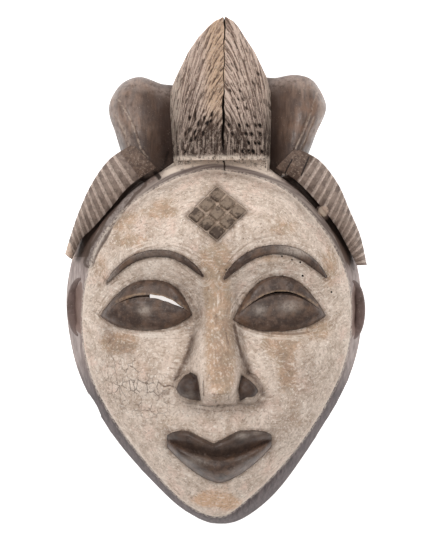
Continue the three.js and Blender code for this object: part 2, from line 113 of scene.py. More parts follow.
lobes = [
    dict(outline=[[-20, 112], [-34, 117.5], [-46, 121.5], [-57, 117.5], [-64, 107], [-64.5, 98], [-61, 87.5],
                  [-57, 75], [-52, 66], [-45, 59], [-36, 56], [-24, 58], [-16, 80]],
         middle=(-40, 90), ridge=((-57, 108), (-45, 62)), valley_x=-24),
    dict(outline=[[22, 117], [37, 121], [49, 122.7], [59, 119], [66, 107], [66, 99], [61, 88], [56, 75],
                  [51, 64], [44, 57], [36, 55], [24, 58], [18, 80]],
         middle=(42, 90), ridge=((58, 107), (45, 62)), valley_x=28),
]
lobe = dict(front=48, valley=34, side=27, back=11)

braids = [
    dict(outer=[[-50, 80], [-64, 71], [-75, 56], [-83, 38.5], [-88.5, 22.5], [-91, 14]],
         inner=[[-36, 66], [-52, 55], [-62, 43.5], [-74, 30], [-81.5, 22.5], [-87, 11]],
         cuts=15, plain=0.11),
    dict(outer=[[48, 78], [62.5, 70], [73.5, 56], [80, 41.5], [87, 25], [91, 7.5]],
         inner=[[36, 66], [49, 57.5], [62, 44], [72.5, 30.5], [79.3, 18.4], [85, 7.4]],
         cuts=17, plain=0.14),
]
braid = dict(front=49, tip_front=40, back=6, tip_back=18, crown=5, cut_depth=1.5, lean=0.12)

ears = [dict(tip_x=-80.5, back_x=-87.3, y=-18), dict(tip_x=81, back_x=87.3, y=-19.5)]
ear = dict(half_height=17, tip_z=37, depth=14, radius=3.3)

chip = dict(start=(-82, -70), end=(-70.5, -90), middle=(-74, -78), radius=3.6, height=12)

clay = dict(middle=(64.6, 39.2, 34.5), half=(3.4, 4.6, 4.2))

# Crescents of the ears, inside which the side walls are hollowed a little
ear_outlines = [
    [(-80.6, -0.9), (-84.8, -5.8), (-87.9, -11.2), (-89.4, -16.7), (-89.7, -22.1), (-87.9, -27.6),
     (-84.8, -31.8), (-80.6, -34.8), (-79.7, -25.8), (-79.7, -10.6)],
    [(83, -2.7), (86, -6.4), (88.5, -11.2), (89.7, -17.3), (89.4, -23.3), (87.3, -29.4), (84.2, -34.2),
     (81.8, -36.7), (80.6, -28.8), (80.6, -13.6)],
]

# Recesses between the braids and the band, painted dark: painted shade
shaded_recesses = [
    [(-87.6, 12.3), (-76.8, 12.3), (-75, 20.7), (-71.4, 27.3), (-66.6, 33.3), (-58.8, 41.7), (-49.8, 52.5),
     (-53, 55), (-69.6, 38), (-79.2, 26), (-85.2, 18.5)],
    [(81, 6), (78, 9.5), (71.5, 24), (62, 42), (54, 51.5), (58, 54), (67, 43.5), (76, 25.5), (82, 12)],
]

# Materials of the one piece, in slot order
PARTS = ["face", "side", "crest", "lobe", "braid", "ear", "inside", "gap"]


def lerp(a, b, t):
    return a + (b - a) * t


def smooth(x, low, high):
    t = np.clip((x - low) / (high - low), 0, 1)
    return t * t * (3 - 2 * t)


def along(table, x):
    rows = np.array(table, float)
    return np.interp(x, rows[:, 0], rows[:, 1])


def unit(rows):
    return rows / np.linalg.norm(rows, axis=1)[:, None]


def full_turn(count):
    return np.linspace(0, 2 * np.pi, count, endpoint=False)


def ribbon(x, top, bottom):
    """Closed outline between an upper and a lower line"""
    return np.concatenate([np.stack([x, top], 1), np.stack([x, bottom], 1)[::-1]])


def in_scene(name, data):
    made = bpy.data.objects.new(name, data)
    bpy.context.scene.collection.objects.link(made)
    return made


def points_of(mesh):
    points = np.empty(len(mesh.vertices) * 3, np.float32)
    mesh.vertices.foreach_get("co", points)
    return points.reshape(-1, 3).astype(float)


def curve_through(points, closed, steps=16):
    """Smooth curve through points, as rows"""
    p = np.array(points, float)
    if closed:
        before, here, after, beyond = np.roll(p, 1, 0), p, np.roll(p, -1, 0), np.roll(p, -2, 0)
    else:
        padded = np.vstack([2 * p[0] - p[1], p, 2 * p[-1] - p[-2]])
        before, here, after, beyond = padded[:-3], padded[1:-2], padded[2:-1], padded[3:]
    t = np.linspace(0, 1, steps, endpoint=False)[None, :, None]
    before, here, after, beyond = (q[:, None, :] for q in (before, here, after, beyond))
    curve = here + 0.5 * ((after - before) * t + (2 * before - 5 * here + 4 * after - beyond) * t ** 2
                          + (3 * here - before - 3 * after + beyond) * t ** 3)
    curve = curve.reshape(-1, p.shape[1])
    return curve if closed else np.vstack([curve, p[-1]])


def even_points(curve, count):
    """Points at even steps along a curve"""
    steps = np.linalg.norm(np.diff(curve, axis=0), axis=1)
    run = np.concatenate([[0], np.cumsum(steps)])
    at = np.linspace(0, run[-1], count)
    return np.stack([np.interp(at, run, curve[:, k]) for k in range(curve.shape[1])], 1)


def radius_finder(outline, middle_point):
    curve = curve_through(outline, True) - np.array(middle_point)
    angles = np.arctan2(curve[:, 1], curve[:, 0])
    order = np.argsort(angles)
    radii = np.hypot(curve[:, 0], curve[:, 1])[order]
    return lambda angle: np.interp(angle, angles[order], radii, period=2 * np.pi)


face_radius = radius_finder(face_outline, centre)
rim_radius = radius_finder(rim_outline, centre)
middle_curve = curve_through(middle, False, 8)


def out_from(radius, x, y):
    angle = np.arctan2(y - centre[1], x - centre[0])
    return np.hypot(x - centre[0], y - centre[1]) / radius(angle), angle


def lattice_noise(points, size, seed):
    """Smooth noise from -1 to 1 with features of a given size"""
    cells = np.asarray(points, float) / size
    low = np.floor(cells).astype(np.int64)
    share = cells - low
    share = share * share * (3 - 2 * share)
    total = np.zeros(len(cells))
    for corner in range(2 ** cells.shape[1]):
        bits = np.array([(corner >> k) & 1 for k in range(cells.shape[1])])
        weight = np.prod(np.where(bits, share, 1 - share), axis=1)
        key = ((low + bits) * np.array([73856093, 19349663, 83492791])[:cells.shape[1]]).sum(1) + seed * 7919
        key = (key ^ (key >> 13)) * 1274126177 & 0x7FFFFFFF
        key = (key ^ (key >> 15)) * 668265263 & 0x7FFFFFFF
        total += weight * (key / 0x3FFFFFFF - 1)
    return total


def line_distance(x, y, points):
    """Distance to an open line of points"""
    best = np.full(np.shape(x), 1e9)
    for (x0, y0), (x1, y1) in zip(points[:-1], points[1:]):
        dx, dy = x1 - x0, y1 - y0
        t = np.clip(((x - x0) * dx + (y - y0) * dy) / (dx * dx + dy * dy + 1e-12), 0, 1)
        best = np.minimum(best, np.hypot(x - x0 - t * dx, y - y0 - t * dy))
    return best


def inside_depth(x, y, polygon, reach=9):
    """Distance inside a closed outline, negative outside, to a reach in mm"""
    polygon = np.array(polygon, float)
    low, high = polygon.min(0) - reach, polygon.max(0) + reach
    depth = np.full(np.shape(x), -float(reach))
    near = (x > low[0]) & (x < high[0]) & (y > low[1]) & (y < high[1])
    px, py = x[near], y[near]
    ring = np.vstack([polygon, polygon[:1]])
    inside = np.zeros(px.shape, bool)
    for (x0, y0), (x1, y1) in zip(ring[:-1], ring[1:]):
        crosses = (y0 > py) != (y1 > py)
        inside ^= crosses & (px < (x1 - x0) * (py - y0) / (y1 - y0 + 1e-12) + x0)
    distance = np.minimum(line_distance(px, py, ring), reach)
    depth[near] = np.where(inside, distance, -distance)
    return depth


def cuts_depth(x, y, cuts):
    """Depth of V cuts, each from one point to another with a half width and a depth"""
    depth = np.zeros(np.shape(x))
    for x0, y0, x1, y1, half, deep in cuts:
        low_x, high_x = min(x0, x1) - half, max(x0, x1) + half
        low_y, high_y = min(y0, y1) - half, max(y0, y1) + half
        near = (x > low_x) & (x < high_x) & (y > low_y) & (y < high_y)
        distance = line_distance(x[near], y[near], [(x0, y0), (x1, y1)])
        depth[near] = np.maximum(depth[near], deep * np.clip(1 - (distance / half) ** 2, 0, 1))
    return depth


def along_line(points, half, deep):
    """Cuts that follow a line of points"""
    return [(*a, *b, half, deep) for a, b in zip(points[:-1], points[1:])]


# The face, before lids, nose, lips and brows are set on it
def dome_height(x, y):
    out, angle = out_from(face_radius, x, y)
    rise = np.sin(angle)
    low = edge["side"] + edge["tilt"] * rise + edge["ends"] * rise * rise
    top = np.interp(y, middle_curve[:, 0], middle_curve[:, 1])
    height = low + (top - low) * (1 - out ** dome_power)
    for eye in eyes:
        across = (x - (eye["outer"][0] + eye["inner"][0]) / 2) / socket["half_width"]
        up = (y - (eye["outer"][1] + eye["inner"][1]) / 2 - socket["lift"]) / socket["half_height"]
        height = height - socket["depth"] * np.exp(-((across ** 2 + up ** 2) ** 2))
    return height


def corner_line(eye, place):
    x = lerp(eye["outer"][0], eye["inner"][0], (place + 1) / 2)
    y = lerp(eye["outer"][1], eye["inner"][1], (place + 1) / 2)
    return x, y


def lid_edges(eye, place):
    reach = np.clip(np.abs(place), 0, 1)
    power = np.where(place > 0, eye["inner_power"], eye["outer_power"])
    return eye["upper"] * (1 - reach ** power), -eye["lower"] * (1 - reach ** lid["lower_power"])


def lid_swell(place):
    return lid["bulge"] * np.sqrt(np.clip(1 - place ** 4, 0, 1))


def half_round(t):
    return np.sqrt(np.clip(1 - (2 * t - 1) ** 2, 0, 1))


BURIED = -4.0
SEAT = 0.3


def lid_over(eye, x, y):
    place = (x - eye["outer"][0]) / (eye["inner"][0] - eye["outer"][0]) * 2 - 1
    _, line = corner_line(eye, place)
    top, bottom = lid_edges(eye, place)
    t = (y - line - bottom) / np.maximum(top - bottom, 1e-6)
    inside = (np.abs(place) < 1) & (t > 0) & (t < 1)
    return np.where(inside, lid_swell(place) * half_round(t) - SEAT, BURIED)


def brow_line(each, share):
    """Height of a brow's arch, its half width, and how far out from its middle"""
    reach = np.clip(np.abs(share * 2 - 1), 0, 1)
    arch = lerp(each["outer"][1], each["inner"][1], share) + each["rise"] * (1 - reach ** brow["arch_power"])
    return arch, each["width"] / 2 * (1 - brow["end_taper"] * reach ** 6), reach


def brow_over(each, x, y):
    share = (x - each["outer"][0]) / (each["inner"][0] - each["outer"][0])
    place = share * 2 - 1
    arch, half, reach = brow_line(each, share)
    fall = each["rise"] * brow["arch_power"] * reach ** (brow["arch_power"] - 1) * np.sign(place)
    turn = np.arctan(-2 * fall / (each["inner"][0] - each["outer"][0]))
    side = np.abs(y - arch) * np.cos(turn) / half
    over = brow["relief"] * np.interp(side, [0, 0.7, 1, 1.3], [1, 1, -0.2, -2])
    return np.where(np.abs(place) < 1, over, BURIED)


def nose_over(x, y):
    down = (nose["root"] - y) / (nose["root"] - nose["tip"])
    side = np.abs(x - nose["x"]) / along(nose_half, y)
    under = np.clip((y - nose["base"]) / (nose["tip"] - nose["base"]), 0, 1) ** 0.5
    ridge = nose["rise"] * np.clip(down, 0, 1) ** 1.2 * under
    over = ridge * (1 - np.clip(side, 0, 1) ** nose["flatness"]) - SEAT
    return np.where((down > 0) & (down < 1.1) & (side < 1), over, BURIED)


def wing_over(wing, x, y):
    (cx, cy), (half_x, half_y) = wing
    down = (y - cy) / half_y
    width = np.sqrt(np.clip(1 - down ** 2, 1e-9, 1))
    side = (x - cx) / (half_x * width)
    over = wing_rise * width * np.sqrt(np.clip(1 - side ** 2, 0, 1)) - SEAT
    return np.where((np.abs(down) < 1) & (np.abs(side) < 1), over, BURIED)


def lip_lines(x):
    """Upper edge, middle line and lower edge of the mouth"""
    out = np.clip(np.abs((x - mouth["x"]) / mouth["half"]), 0, 1)
    line = lips["line"] + lips["line_rise"] * out ** lips["line_power"]
    dip = lips["dip"] * np.clip(1 - np.abs((x - lips["dip_x"]) / lips["dip_half"]), 0, 1)
    top = lips["top"] - dip - lips["corner_drop"] * out ** 8
    bottom = lips["bottom"] + lips["bottom_rise"] * out ** lips["bottom_power"]
    return top, line, bottom, out


def lip_over(upper, x, y):
    top, line, bottom, out = lip_lines(x)
    low, high = (line, top) if upper else (bottom, line)
    t = (y - low) / np.maximum(high - low, 1e-6)
    rise = lips["upper_relief"] if upper else lips["lower_relief"]
    lean = lips["upper_lean"] if upper else lips["lower_lean"]
    over = rise * half_round(np.clip(t, 0, 1) ** lean) * (1 - lips["end_taper"] * out ** 5) - SEAT
    return np.where((out < 1) & (t > 0) & (t < 1), over, BURIED)


def scale_corners(i, j):
    a, b = np.array(lozenge["side_a"]), np.array(lozenge["side_b"])
    start = np.array(lozenge["middle"]) - a / 2 - b / 2
    ends = [lozenge["gap"] / 2 / np.linalg.norm(side) for side in (a, b)]
    corners = []
    for s, t in ((0, 0), (1, 0), (1, 1), (0, 1)):
        u = (i + s) / lozenge["rows"] + (ends[0] if s == 0 else -ends[0])
        v = (j + t) / lozenge["rows"] + (ends[1] if t == 0 else -ends[1])
        corners.append(start + a * u + b * v)
    return corners


def scales():
    return [scale_corners(i, j) for i in range(lozenge["rows"]) for j in range(lozenge["rows"])]


def scale_over(x, y):
    depth = np.full(np.shape(x), -9.0)
    for corners in scales():
        depth = np.maximum(depth, inside_depth(x, y, corners, 3))
    tilt = 0.25 * np.sin(x * 0.9 + y * 0.4)
    return np.interp(depth, [-0.5, 0.45], [-2, 1]) * lozenge["relief"] + np.where(depth > 0, tilt, 0)


def blend_up(base, over, width):
    """Smooth maximum"""
    h = np.clip(0.5 + 0.5 * (over - base) / width, 0, 1)
    return lerp(base, over, h) + width * h * (1 - h)


# Knife and wear marks on the face that are cut into it
face_lines = [
    ([(-12.5, -32), (-15.5, -44), (-19, -51), (-22.5, -60.5)], 1.5, 0.9),
    ([(10.6, -30), (13, -38.5), (15.4, -48), (18.3, -56), (21.3, -61)], 1.4, 1.3),
]


def face_height(x, y):
    points = np.stack([x, y], 1)
    over = np.zeros(np.shape(x))
    for each in brows:
        over = blend_up(over, brow_over(each, x, y), 0.4)
    over = blend_up(over, scale_over(x, y), 0.4)
    for eye in eyes:
        over = blend_up(over, lid_over(eye, x, y), 0.8)
    over = blend_up(over, nose_over(x, y), 3.0)
    for wing in wings:
        over = blend_up(over, wing_over(wing, x, y), 1.2)
    over = blend_up(over, lip_over(True, x, y), 0.6)
    over = blend_up(over, lip_over(False, x, y), 0.6)
    marks = 0.28 * lattice_noise(points, 11, 1) + 0.12 * lattice_noise(points, 4.5, 2)
    marks += 0.05 * lattice_noise(points, 1.9, 3)
    cuts = [cut for line, half, deep in face_lines for cut in along_line(line, half, deep)]
    return dome_height(x, y) + over + marks - cuts_depth(x, y, cuts)


class Body:
    """A closed skin being put together: points, faces and how deep each point is carved"""

    def __init__(self):
        self.points = []
        self.faces = []
        self.parts = []
        self.carve = []
        self.count = 0

    def add(self, points, carve=None):
        first = self.count
        points = np.asarray(points, float)
        self.points.append(points)
        self.carve.append(np.zeros(len(points)) if carve is None else np.asarray(carve, float))
        self.count += len(points)
        return first + np.arange(len(points))

    def join(self, low, high, part):
        """Quads between two rings of point numbers"""
        quads = np.stack([low, np.roll(low, -1), np.roll(high, -1), high], 1)
        self.faces.extend(map(tuple, quads))
        self.parts.extend([PARTS.index(part)] * len(quads))

    def close(self, ring, part, turned):
        """A fan over a ring"""
        points = np.vstack(self.points)
        tip = self.add([points[ring].mean(0)])[0]
        nexts = np.roll(ring, -1)
        fan = [(b, a, tip) if turned else (a, b, tip) for a, b in zip(ring, nexts)]
        self.faces.extend(fan)
        self.parts.extend([PARTS.index(part)] * len(fan))

    def make(self, name):
        mesh = bpy.data.meshes.new(name)
        points = np.vstack(self.points)
        mesh.from_pydata(points.tolist(), [], [tuple(int(i) for i in f) for f in self.faces])
        mesh.polygons.foreach_set("material_index", np.array(self.parts, np.int32))
        carve = mesh.attributes.new("carve", "FLOAT", "POINT")
        carve.data.foreach_set("value", np.concatenate(self.carve).astype(np.float32))
        turn_outward(mesh)
        return in_scene(name, mesh)


def turn_outward(mesh):
    """Faces of a closed skin turn so that its volume is positive"""
    mesh.calc_loop_triangles()
    corners = np.empty(len(mesh.loop_triangles) * 3, np.int32)
    mesh.loop_triangles.foreach_get("vertices", corners)
    a, b, c = points_of(mesh)[corners.reshape(-1, 3)].transpose(1, 0, 2)
    if np.einsum("ij,ij->i", a, np.cross(b, c)).sum() < 0:
        mesh.flip_normals()


def loft(name, rings, part, carves=None):
    """Skin over rings of points, closed at both ends"""
    body = Body()
    carves = carves or [None] * len(rings)
    numbers = [body.add(ring, carve) for ring, carve in zip(rings, carves)]
    for low, high in zip(numbers[:-1], numbers[1:]):
        body.join(low, high, part)
    body.close(numbers[0], part, True)
    body.close(numbers[-1], part, False)
    return body.make(name)


def column(x, y, z):
    return np.stack([np.broadcast_to(x, np.shape(y)), y, np.broadcast_to(z, np.shape(y))], 1)


# The head
face_cells = 204
wall_rings = 13


def head_body():
    body = Body()
    steps = np.linspace(-1, 1, face_cells + 1)
    u, v = (g.ravel() for g in np.meshgrid(steps, steps))
    out = np.maximum(np.abs(u), np.abs(v))
    angle = np.arctan2(v, u)
    reach = out * face_radius(angle)
    x, y = centre[0] + reach * np.cos(angle), centre[1] + reach * np.sin(angle)
    z = face_height(x, y)
    numbers = body.add(np.stack([x, y, z], 1)).reshape(face_cells + 1, face_cells + 1)
    quads = np.stack([numbers[:-1, :-1], numbers[:-1, 1:], numbers[1:, 1:], numbers[1:, :-1]], -1)
    quads = quads.reshape(-1, 4)
    body.faces.extend(map(tuple, quads))
    body.parts.extend([PARTS.index("face")] * len(quads))
    border = np.concatenate([numbers[0, :-1], numbers[:-1, -1], numbers[-1, :0:-1], numbers[:0:-1, 0]])
    top = body.points[0][border]
    angle = np.arctan2(top[:, 1] - centre[1], top[:, 0] - centre[0])
    rim = centre + rim_radius(angle)[:, None] * np.stack([np.cos(angle), np.sin(angle)], 1)
    banded = smooth(top[:, 1], band_from, band_to)
    jaw, band = (curve_through(table, False, 12) for table in (jaw_wall, band_wall))
    at = np.linspace(0, len(jaw) - 1, wall_rings + 1)[1:]
    last = border
    for place in at:
        row = [[np.interp(place, np.arange(len(t)), t[:, k]) for k in (0, 1)] for t in (jaw, band)]
        across = lerp(row[0][0], row[1][0], banded)
        down = lerp(row[0][1], row[1][1], banded)
        xy = lerp(top[:, :2], rim, across[:, None])
        z = top[:, 2] * (1 - down)
        if place < at[-1]:
            away = unit(xy - centre)
            spots = np.column_stack([xy, z])
            marks = 0.35 * lattice_noise(spots, 9, 4) + 0.15 * lattice_noise(spots, 3.5, 5)
            xy = xy + away * marks[:, None]
            bowl = smooth(deepest(xy[:, 0], xy[:, 1], ear_outlines), 0.5, 3)
            xy = xy - away * (1.6 * bowl)[:, None]
            z = z - 1.2 * bowl
        ring = body.add(np.column_stack([xy, z]))
        body.join(ring, last, "side")
        last = ring
    body.close(last, "inside", True)
    return body.make("head")


def hollow_body():
    sides, rings = 150, 30
    angle = np.linspace(-np.pi, np.pi, sides, endpoint=False)
    inner = rim_radius(angle) - rim_width
    body = Body()

    def ring(share, height):
        x = centre[0] + share * inner * np.cos(angle)
        y = centre[1] + share * inner * np.sin(angle)
        return np.stack([x, y, height(x, y)], 1)

    def roof(share):
        def height(x, y):
            spots = np.stack([x, y * 0.6], 1)
            tool = 0.9 * np.abs(lattice_noise(spots, 12, 8)) + 0.25 * lattice_noise(spots, 5, 9)
            top = np.interp(y, middle_curve[:, 0], middle_curve[:, 1]) - socket["depth"] - wall
            return top * (1 - share ** hollow_power) - tool * (1 - share ** 4)
        return height

    last = body.add(ring(1, lambda x, y: np.full(x.shape, -3.0)))
    first = last
    for share in 1 - np.linspace(0, 1, rings, endpoint=False) ** 1.5:
        now = body.add(ring(share, roof(share)))
        body.join(last, now, "inside")
        last = now
    body.close(last, "inside", False)
    body.close(first, "inside", True)
    return body.make("hollow")


# The crest
def crest_share(y):
    return np.clip((y - crest["base"]) / (crest["top"] - crest["base"]), 0, 1)


def ridge_height(y):
    return lerp(crest["front_base"], crest["front_top"], crest_share(y) ** crest["front_power"])


def ridge_x(y):
    return lerp(crest["ridge_x"][0], crest["ridge_x"][1], crest_share(y))


def strand_slope(off, y):
    """How steeply the crest's strands run down: shallow at the ridge, upright at the sides and the base"""
    low = 1 - smooth(y, crest["base"] - 8, crest["base"] + 45)
    return 1.0 + 0.17 * np.abs(off) + 9 * low


def crest_cuts():
    """Short knife strokes that follow the strands, and pits between them"""
    cuts = []
    for side in (-1, 1):
        for row in np.arange(54, 164, 3.4):
            for off in np.arange(1.4, 34, 1.75):
                y = row + rng.uniform(-1.8, 1.8) + (off * 1.1) % 3.4
                off_here = off + rng.uniform(-0.45, 0.45)
                table = crest["left"] if side < 0 else crest["right"]
                if off_here > along(table, y) * 1.02 or rng.random() < 0.12:
                    continue
                slope = strand_slope(off_here, y) * rng.uniform(0.85, 1.2)
                length = rng.uniform(2.2, 5.2)
                dx = side * length / math.hypot(1, slope)
                x = ridge_x(y) + side * off_here
                half = rng.uniform(0.5, 0.85)
                deep = rng.uniform(0.35, 0.9)
                drop = abs(dx) * slope / 2
                cuts.append((x - dx / 2, y + drop, x + dx / 2, y - drop, half, deep))
    return cuts


def crest_pits():
    pits = []
    for column_off in (6, 10.5, 15, 19, 23):
        for y in np.arange(60, 138, 5.2):
            chance = 0.35 + 0.6 * (y < 96) - 0.25 * (y > 120)
            if rng.random() < chance:
                off = column_off + rng.uniform(-1.6, 1.6) - (y - 70) * 0.06
                if 1.5 < off < along(crest["right"], y) - 2:
                    x = ridge_x(y) + off
                    small = 0.7 if y > 94 else 1.0
                    pits.append((x, y, x + 0.4, y - 1.0, small * rng.uniform(0.85, 1.35),
                                 small * rng.uniform(1.2, 2.3)))
    for _ in range(36):
        y = rng.uniform(70, 100)
        x = ridge_x(y) - rng.uniform(3, 24)
        pits.append((x, y, x - 0.2, y - rng.uniform(0.6, 2), rng.uniform(0.7, 1.2), rng.uniform(1.0, 2.0)))
    return pits


def crest_body():
    rows, half_columns = 200, 42
    cuts = crest_cuts() + crest_pits()
    shares = np.linspace(0, 1, half_columns + 1)
    shares = lerp(shares, smooth(shares, 0, 1), 0.25)
    share = np.concatenate([shares[::-1], shares[1:]])
    side = np.where(np.arange(len(share)) < half_columns, -1.0, 1.0)
    rings, carves = [], []
    for k in range(rows + 1):
        ridge_y = lerp(crest["bottom"], crest["top"], (k / rows) ** 0.9)
        width = along(crest["left"], ridge_y)
        mid_x = ridge_x(ridge_y)
        y = ridge_y - crest["cut_drop"] * width * share
        up = np.minimum(share / crest["shoulder"], 1) ** 1.5 * crest["shoulder_drop"]
        down = np.clip((share - crest["shoulder"]) / (1 - crest["shoulder"]), 0, 1) ** 1.25
        fall = up + down * (crest["side_drop"] - crest["shoulder_drop"])
        shrink = 1 - crest["top_thinning"] * crest_share(y) ** 4
        reach = np.where(side < 0, along(crest["left"], y), along(crest["right"], y)) * share
        x = mid_x + side * reach
        depth = cuts_depth(x, y, cuts)
        spots = np.stack([x, y], 1)
        rough = 0.2 * lattice_noise(spots, 3, 11) + 0.12 * lattice_noise(spots, 1.4, 12)
        z = ridge_height(y) - fall * shrink - depth + rough
        front = np.stack([x, y, z], 1)
        ends = front[[-1, 0]]
        back_z = lerp(crest["back_base"], crest["back_top"], crest_share(ridge_y))
        back = [[lerp(mid_x, end[0], crest["back_width"]), end[1], back_z] for end in ends]
        sides = [lerp(ends[0], back[0], t) for t in (0.3, 0.65)]
        other = [lerp(ends[1], back[1], t) for t in (0.65, 0.3)]
        back_mid = lerp(np.array(back[0]), np.array(back[1]), 0.5)
        ring = np.vstack([front, sides, back[:1], [back_mid], back[1:], other])
        rings.append(ring)
        carves.append(np.concatenate([np.clip(depth, 0, 1.6) / 1.6, np.zeros(len(ring) - len(front))]))
    leaf = loft("crest", rings, "crest", carves)
    reach = 2 * crest["left"][0][1]
    above = 2 * crest["front_base"]
    block = box_body("ledge", (-reach, 0, crest["ledge"]), (reach, crest["base"], above), "crest")
    carve_body(leaf, block, "DIFFERENCE")
    return leaf


def box_body(name, low, high, part):
    (x0, y0, z0), (x1, y1, z1) = low, high
    ring = lambda z: [(x0, y0, z), (x1, y0, z), (x1, y1, z), (x0, y1, z)]
    return loft(name, [ring(z0), ring(z1)], part)


def crack_body():
    rows = []
    for y in np.linspace(crack["widths"][0][0], crack["widths"][-1][0], 60):
        x = ridge_x(y) + 0.3 * math.sin(y * 0.35) + 0.15 * math.sin(y * 1.1)
        width = along(crack["widths"], y) * (1 + 0.15 * math.sin(y * 0.8))
        top = ridge_height(y)
        rows.append([(x - width / 2, y, top + 4), (x + width / 2, y, top + 4), (x, y, top - crack["deep"])])
    return loft("crack", rows, "gap")


# The lobes
lobe_cuts = [
    [([(-58.5, 107), (-51, 94), (-47.5, 85), (-45, 77), (-41, 72)], 0.9, 0.8),
     ([(-61, 99), (-55.5, 88), (-51, 76), (-44, 65.5)], 1.0, 0.7),
     ([(-56, 92), (-52, 83), (-47, 73)], 0.6, 0.5)],
    [([(61, 112), (58, 102), (55.5, 95), (51.5, 86.5), (43, 67)], 0.9, 0.8),
     ([(59, 96.5), (53, 81.5), (50, 76)], 0.8, 0.7),
     ([(45, 70), (41, 62.5)], 1.3, 2.2),
     ([(55, 72), (50.5, 61)], 1.2, 2.0)],
]


def into_valley(each, x, y):
    """Share of the way from a lobe's crown into its valley, and the crown's place"""
    (top_x, top_y), (low_x, low_y) = each["ridge"]
    crown = lerp(low_x, top_x, (y - low_y) / (top_y - low_y))
    return np.clip((x - crown) / (each["valley_x"] - crown), 0, 1), crown


def lobe_body(which):
    each = lobes[which]
    cx, cy = each["middle"]
    radius = radius_finder(each["outline"], each["middle"])
    sides = 120
    angle = np.linspace(-np.pi, np.pi, sides, endpoint=False)
    cuts = [cut for line, half, deep in lobe_cuts[which] for cut in along_line(line, half, deep)]

    def ring(share, front):
        x = cx + share * radius(angle) * np.cos(angle)
        y = cy + share * radius(angle) * np.sin(angle)
        inward, _ = into_valley(each, x, y)
        full = lerp(lobe["front"], lobe["valley"], smooth(inward, 0, 1)) if front else lobe["back"]
        spots = np.stack([x, y], 1)
        marks = 0.3 * lattice_noise(spots, 10, 21 + which) + 0.08 * lattice_noise(spots, 3, 23)
        depth = cuts_depth(x, y, cuts) if front else np.zeros(sides)
        z = lerp(lobe["side"], full, np.sqrt(1 - share ** 3)) + marks - depth
        return np.stack([x, y, z], 1), np.clip(depth, 0, 1)

    shares = [(s, True) for s in np.linspace(0.06, 1, 25)[:-1]] + [(0.985, True), (1, True)]
    shares += [(s, False) for s in (0.97, 0.88, 0.7, 0.45)]
    made = [ring(share, front) for share, front in shares]
    return loft(f"lobe {which}", [m[0] for m in made], "lobe", [m[1] for m in made])


# The braids
edge_steps = 260
front_steps = 22
braid_rings = 176


def braid_edges(each):
    """Places on the outer and inner edge at a share of the length"""
    curves = [even_points(curve_through(each[name], False), edge_steps) for name in ("outer", "inner")]

    def at(share):
        further = min(share + braid["lean"] * np.sin(np.pi * share), 1)
        steps = np.linspace(0, 1, edge_steps)
        return [np.array([np.interp(place, steps, curve[:, k]) for k in (0, 1)])
                for curve, place in zip(curves, (share, further))]

    return at


def braid_body(which):
    each = braids[which]
    edges = braid_edges(each)
    t = np.concatenate([np.linspace(0, 1, front_steps), [0.93, 0.75, 0.5, 0.25, 0.07]])
    front = np.arange(len(t)) < front_steps
    rings, carves = [], []
    for share in np.linspace(0, 1, braid_rings):
        xy = lerp(*edges(share), t[:, None])
        phase = (share * each["cuts"] + 0.5 + 0.05 * np.sin(share * 40)) % 1
        groove = np.exp(-((np.minimum(phase, 1 - phase) / 0.17) ** 2)) * front
        groove = groove * smooth(1 - share, 0, 0.02) * smooth(share, each["plain"], each["plain"] + 0.02)
        level = lerp(braid["front"], braid["tip_front"], share) - braid["crown"] * (2 * t - 1) ** 2
        under = lerp(braid["back"], braid["tip_back"], share) + braid["crown"] * (2 * t - 1) ** 2
        marks = 0.25 * lattice_noise(xy, 6, 31 + which) + 0.12 * lattice_noise(xy, 2, 33)
        z = np.where(front, level - braid["cut_depth"] * groove + marks + 0.4, under)
        rings.append(np.column_stack([xy, z]))
        carves.append(groove)
    return loft(f"braid {which}", rings, "braid", carves)


def ear_body(which):
    each = ears[which]
    steps = 40
    turn = np.linspace(0, np.pi, steps)
    back = np.sin(turn)
    path = np.stack([lerp(each["tip_x"], each["back_x"], back), each["y"] + ear["half_height"] * np.cos(turn),
                     ear["tip_z"] - ear["depth"] * back], 1)
    ahead = unit(np.gradient(path, axis=0))
    side = unit(np.cross(ahead, (1.0, 0.0, 0.0)))
    other = np.cross(ahead, side)
    around = full_turn(18)
    rings = []
    for k, p in enumerate(path):
        radius = ear["radius"] * math.sqrt(math.sin(np.pi * np.clip(k / (steps - 1), 0.04, 0.96)))
        rings.append(p + radius * (np.cos(around)[:, None] * side[k] + np.sin(around)[:, None] * other[k]))
    return loft(f"ear {which}", rings, "ear")


# What is cut away
def blade_body(name, eye, cut, rise, wide, heights, part):
    steps = 40
    share = np.linspace(cut["start"], cut["end"], steps + 1)
    x, y = corner_line(eye, share)
    y = y + rise * (1 - share ** 2)
    opened = wide * np.sin(np.pi * np.clip(np.arange(steps + 1) / steps, cut.get("blunt", 0.06), 0.94)) / 2
    opened = opened * (1 + 0.12 * np.sin(share * 23))

    def ring(lean, height):
        z = height(share, x, y)
        upper = np.stack([x, y + opened + lean, z], 1)
        lower = np.stack([x, y - opened + lean, z], 1)[::-1]
        return np.vstack([upper, lower])

    return loft(name, [ring(cut.get("slant", 0), heights[0]), ring(0, heights[1])], part)


def slit_body(which):
    eye = eyes[which]
    inside = lambda s, x, y: np.full(x.shape, 30.0)
    outside = lambda s, x, y: dome_height(x, y) + lid_swell(s) + 2
    return blade_body(f"slit {which}", eye, eye["slit"], eye["line"]["rise"], eye["slit"]["wide"],
                      [inside, outside], "gap")


def lid_line_body(which):
    eye = eyes[which]
    floor = lambda s, x, y: dome_height(x, y) + lid_swell(s) - lid["line_depth"]
    clear = lambda s, x, y: floor(s, x, y) + 3 * lid["line_depth"]
    return blade_body(f"lid line {which}", eye, eye["line"], eye["line"]["rise"], lid["line_width"],
                      [floor, clear], "gap")


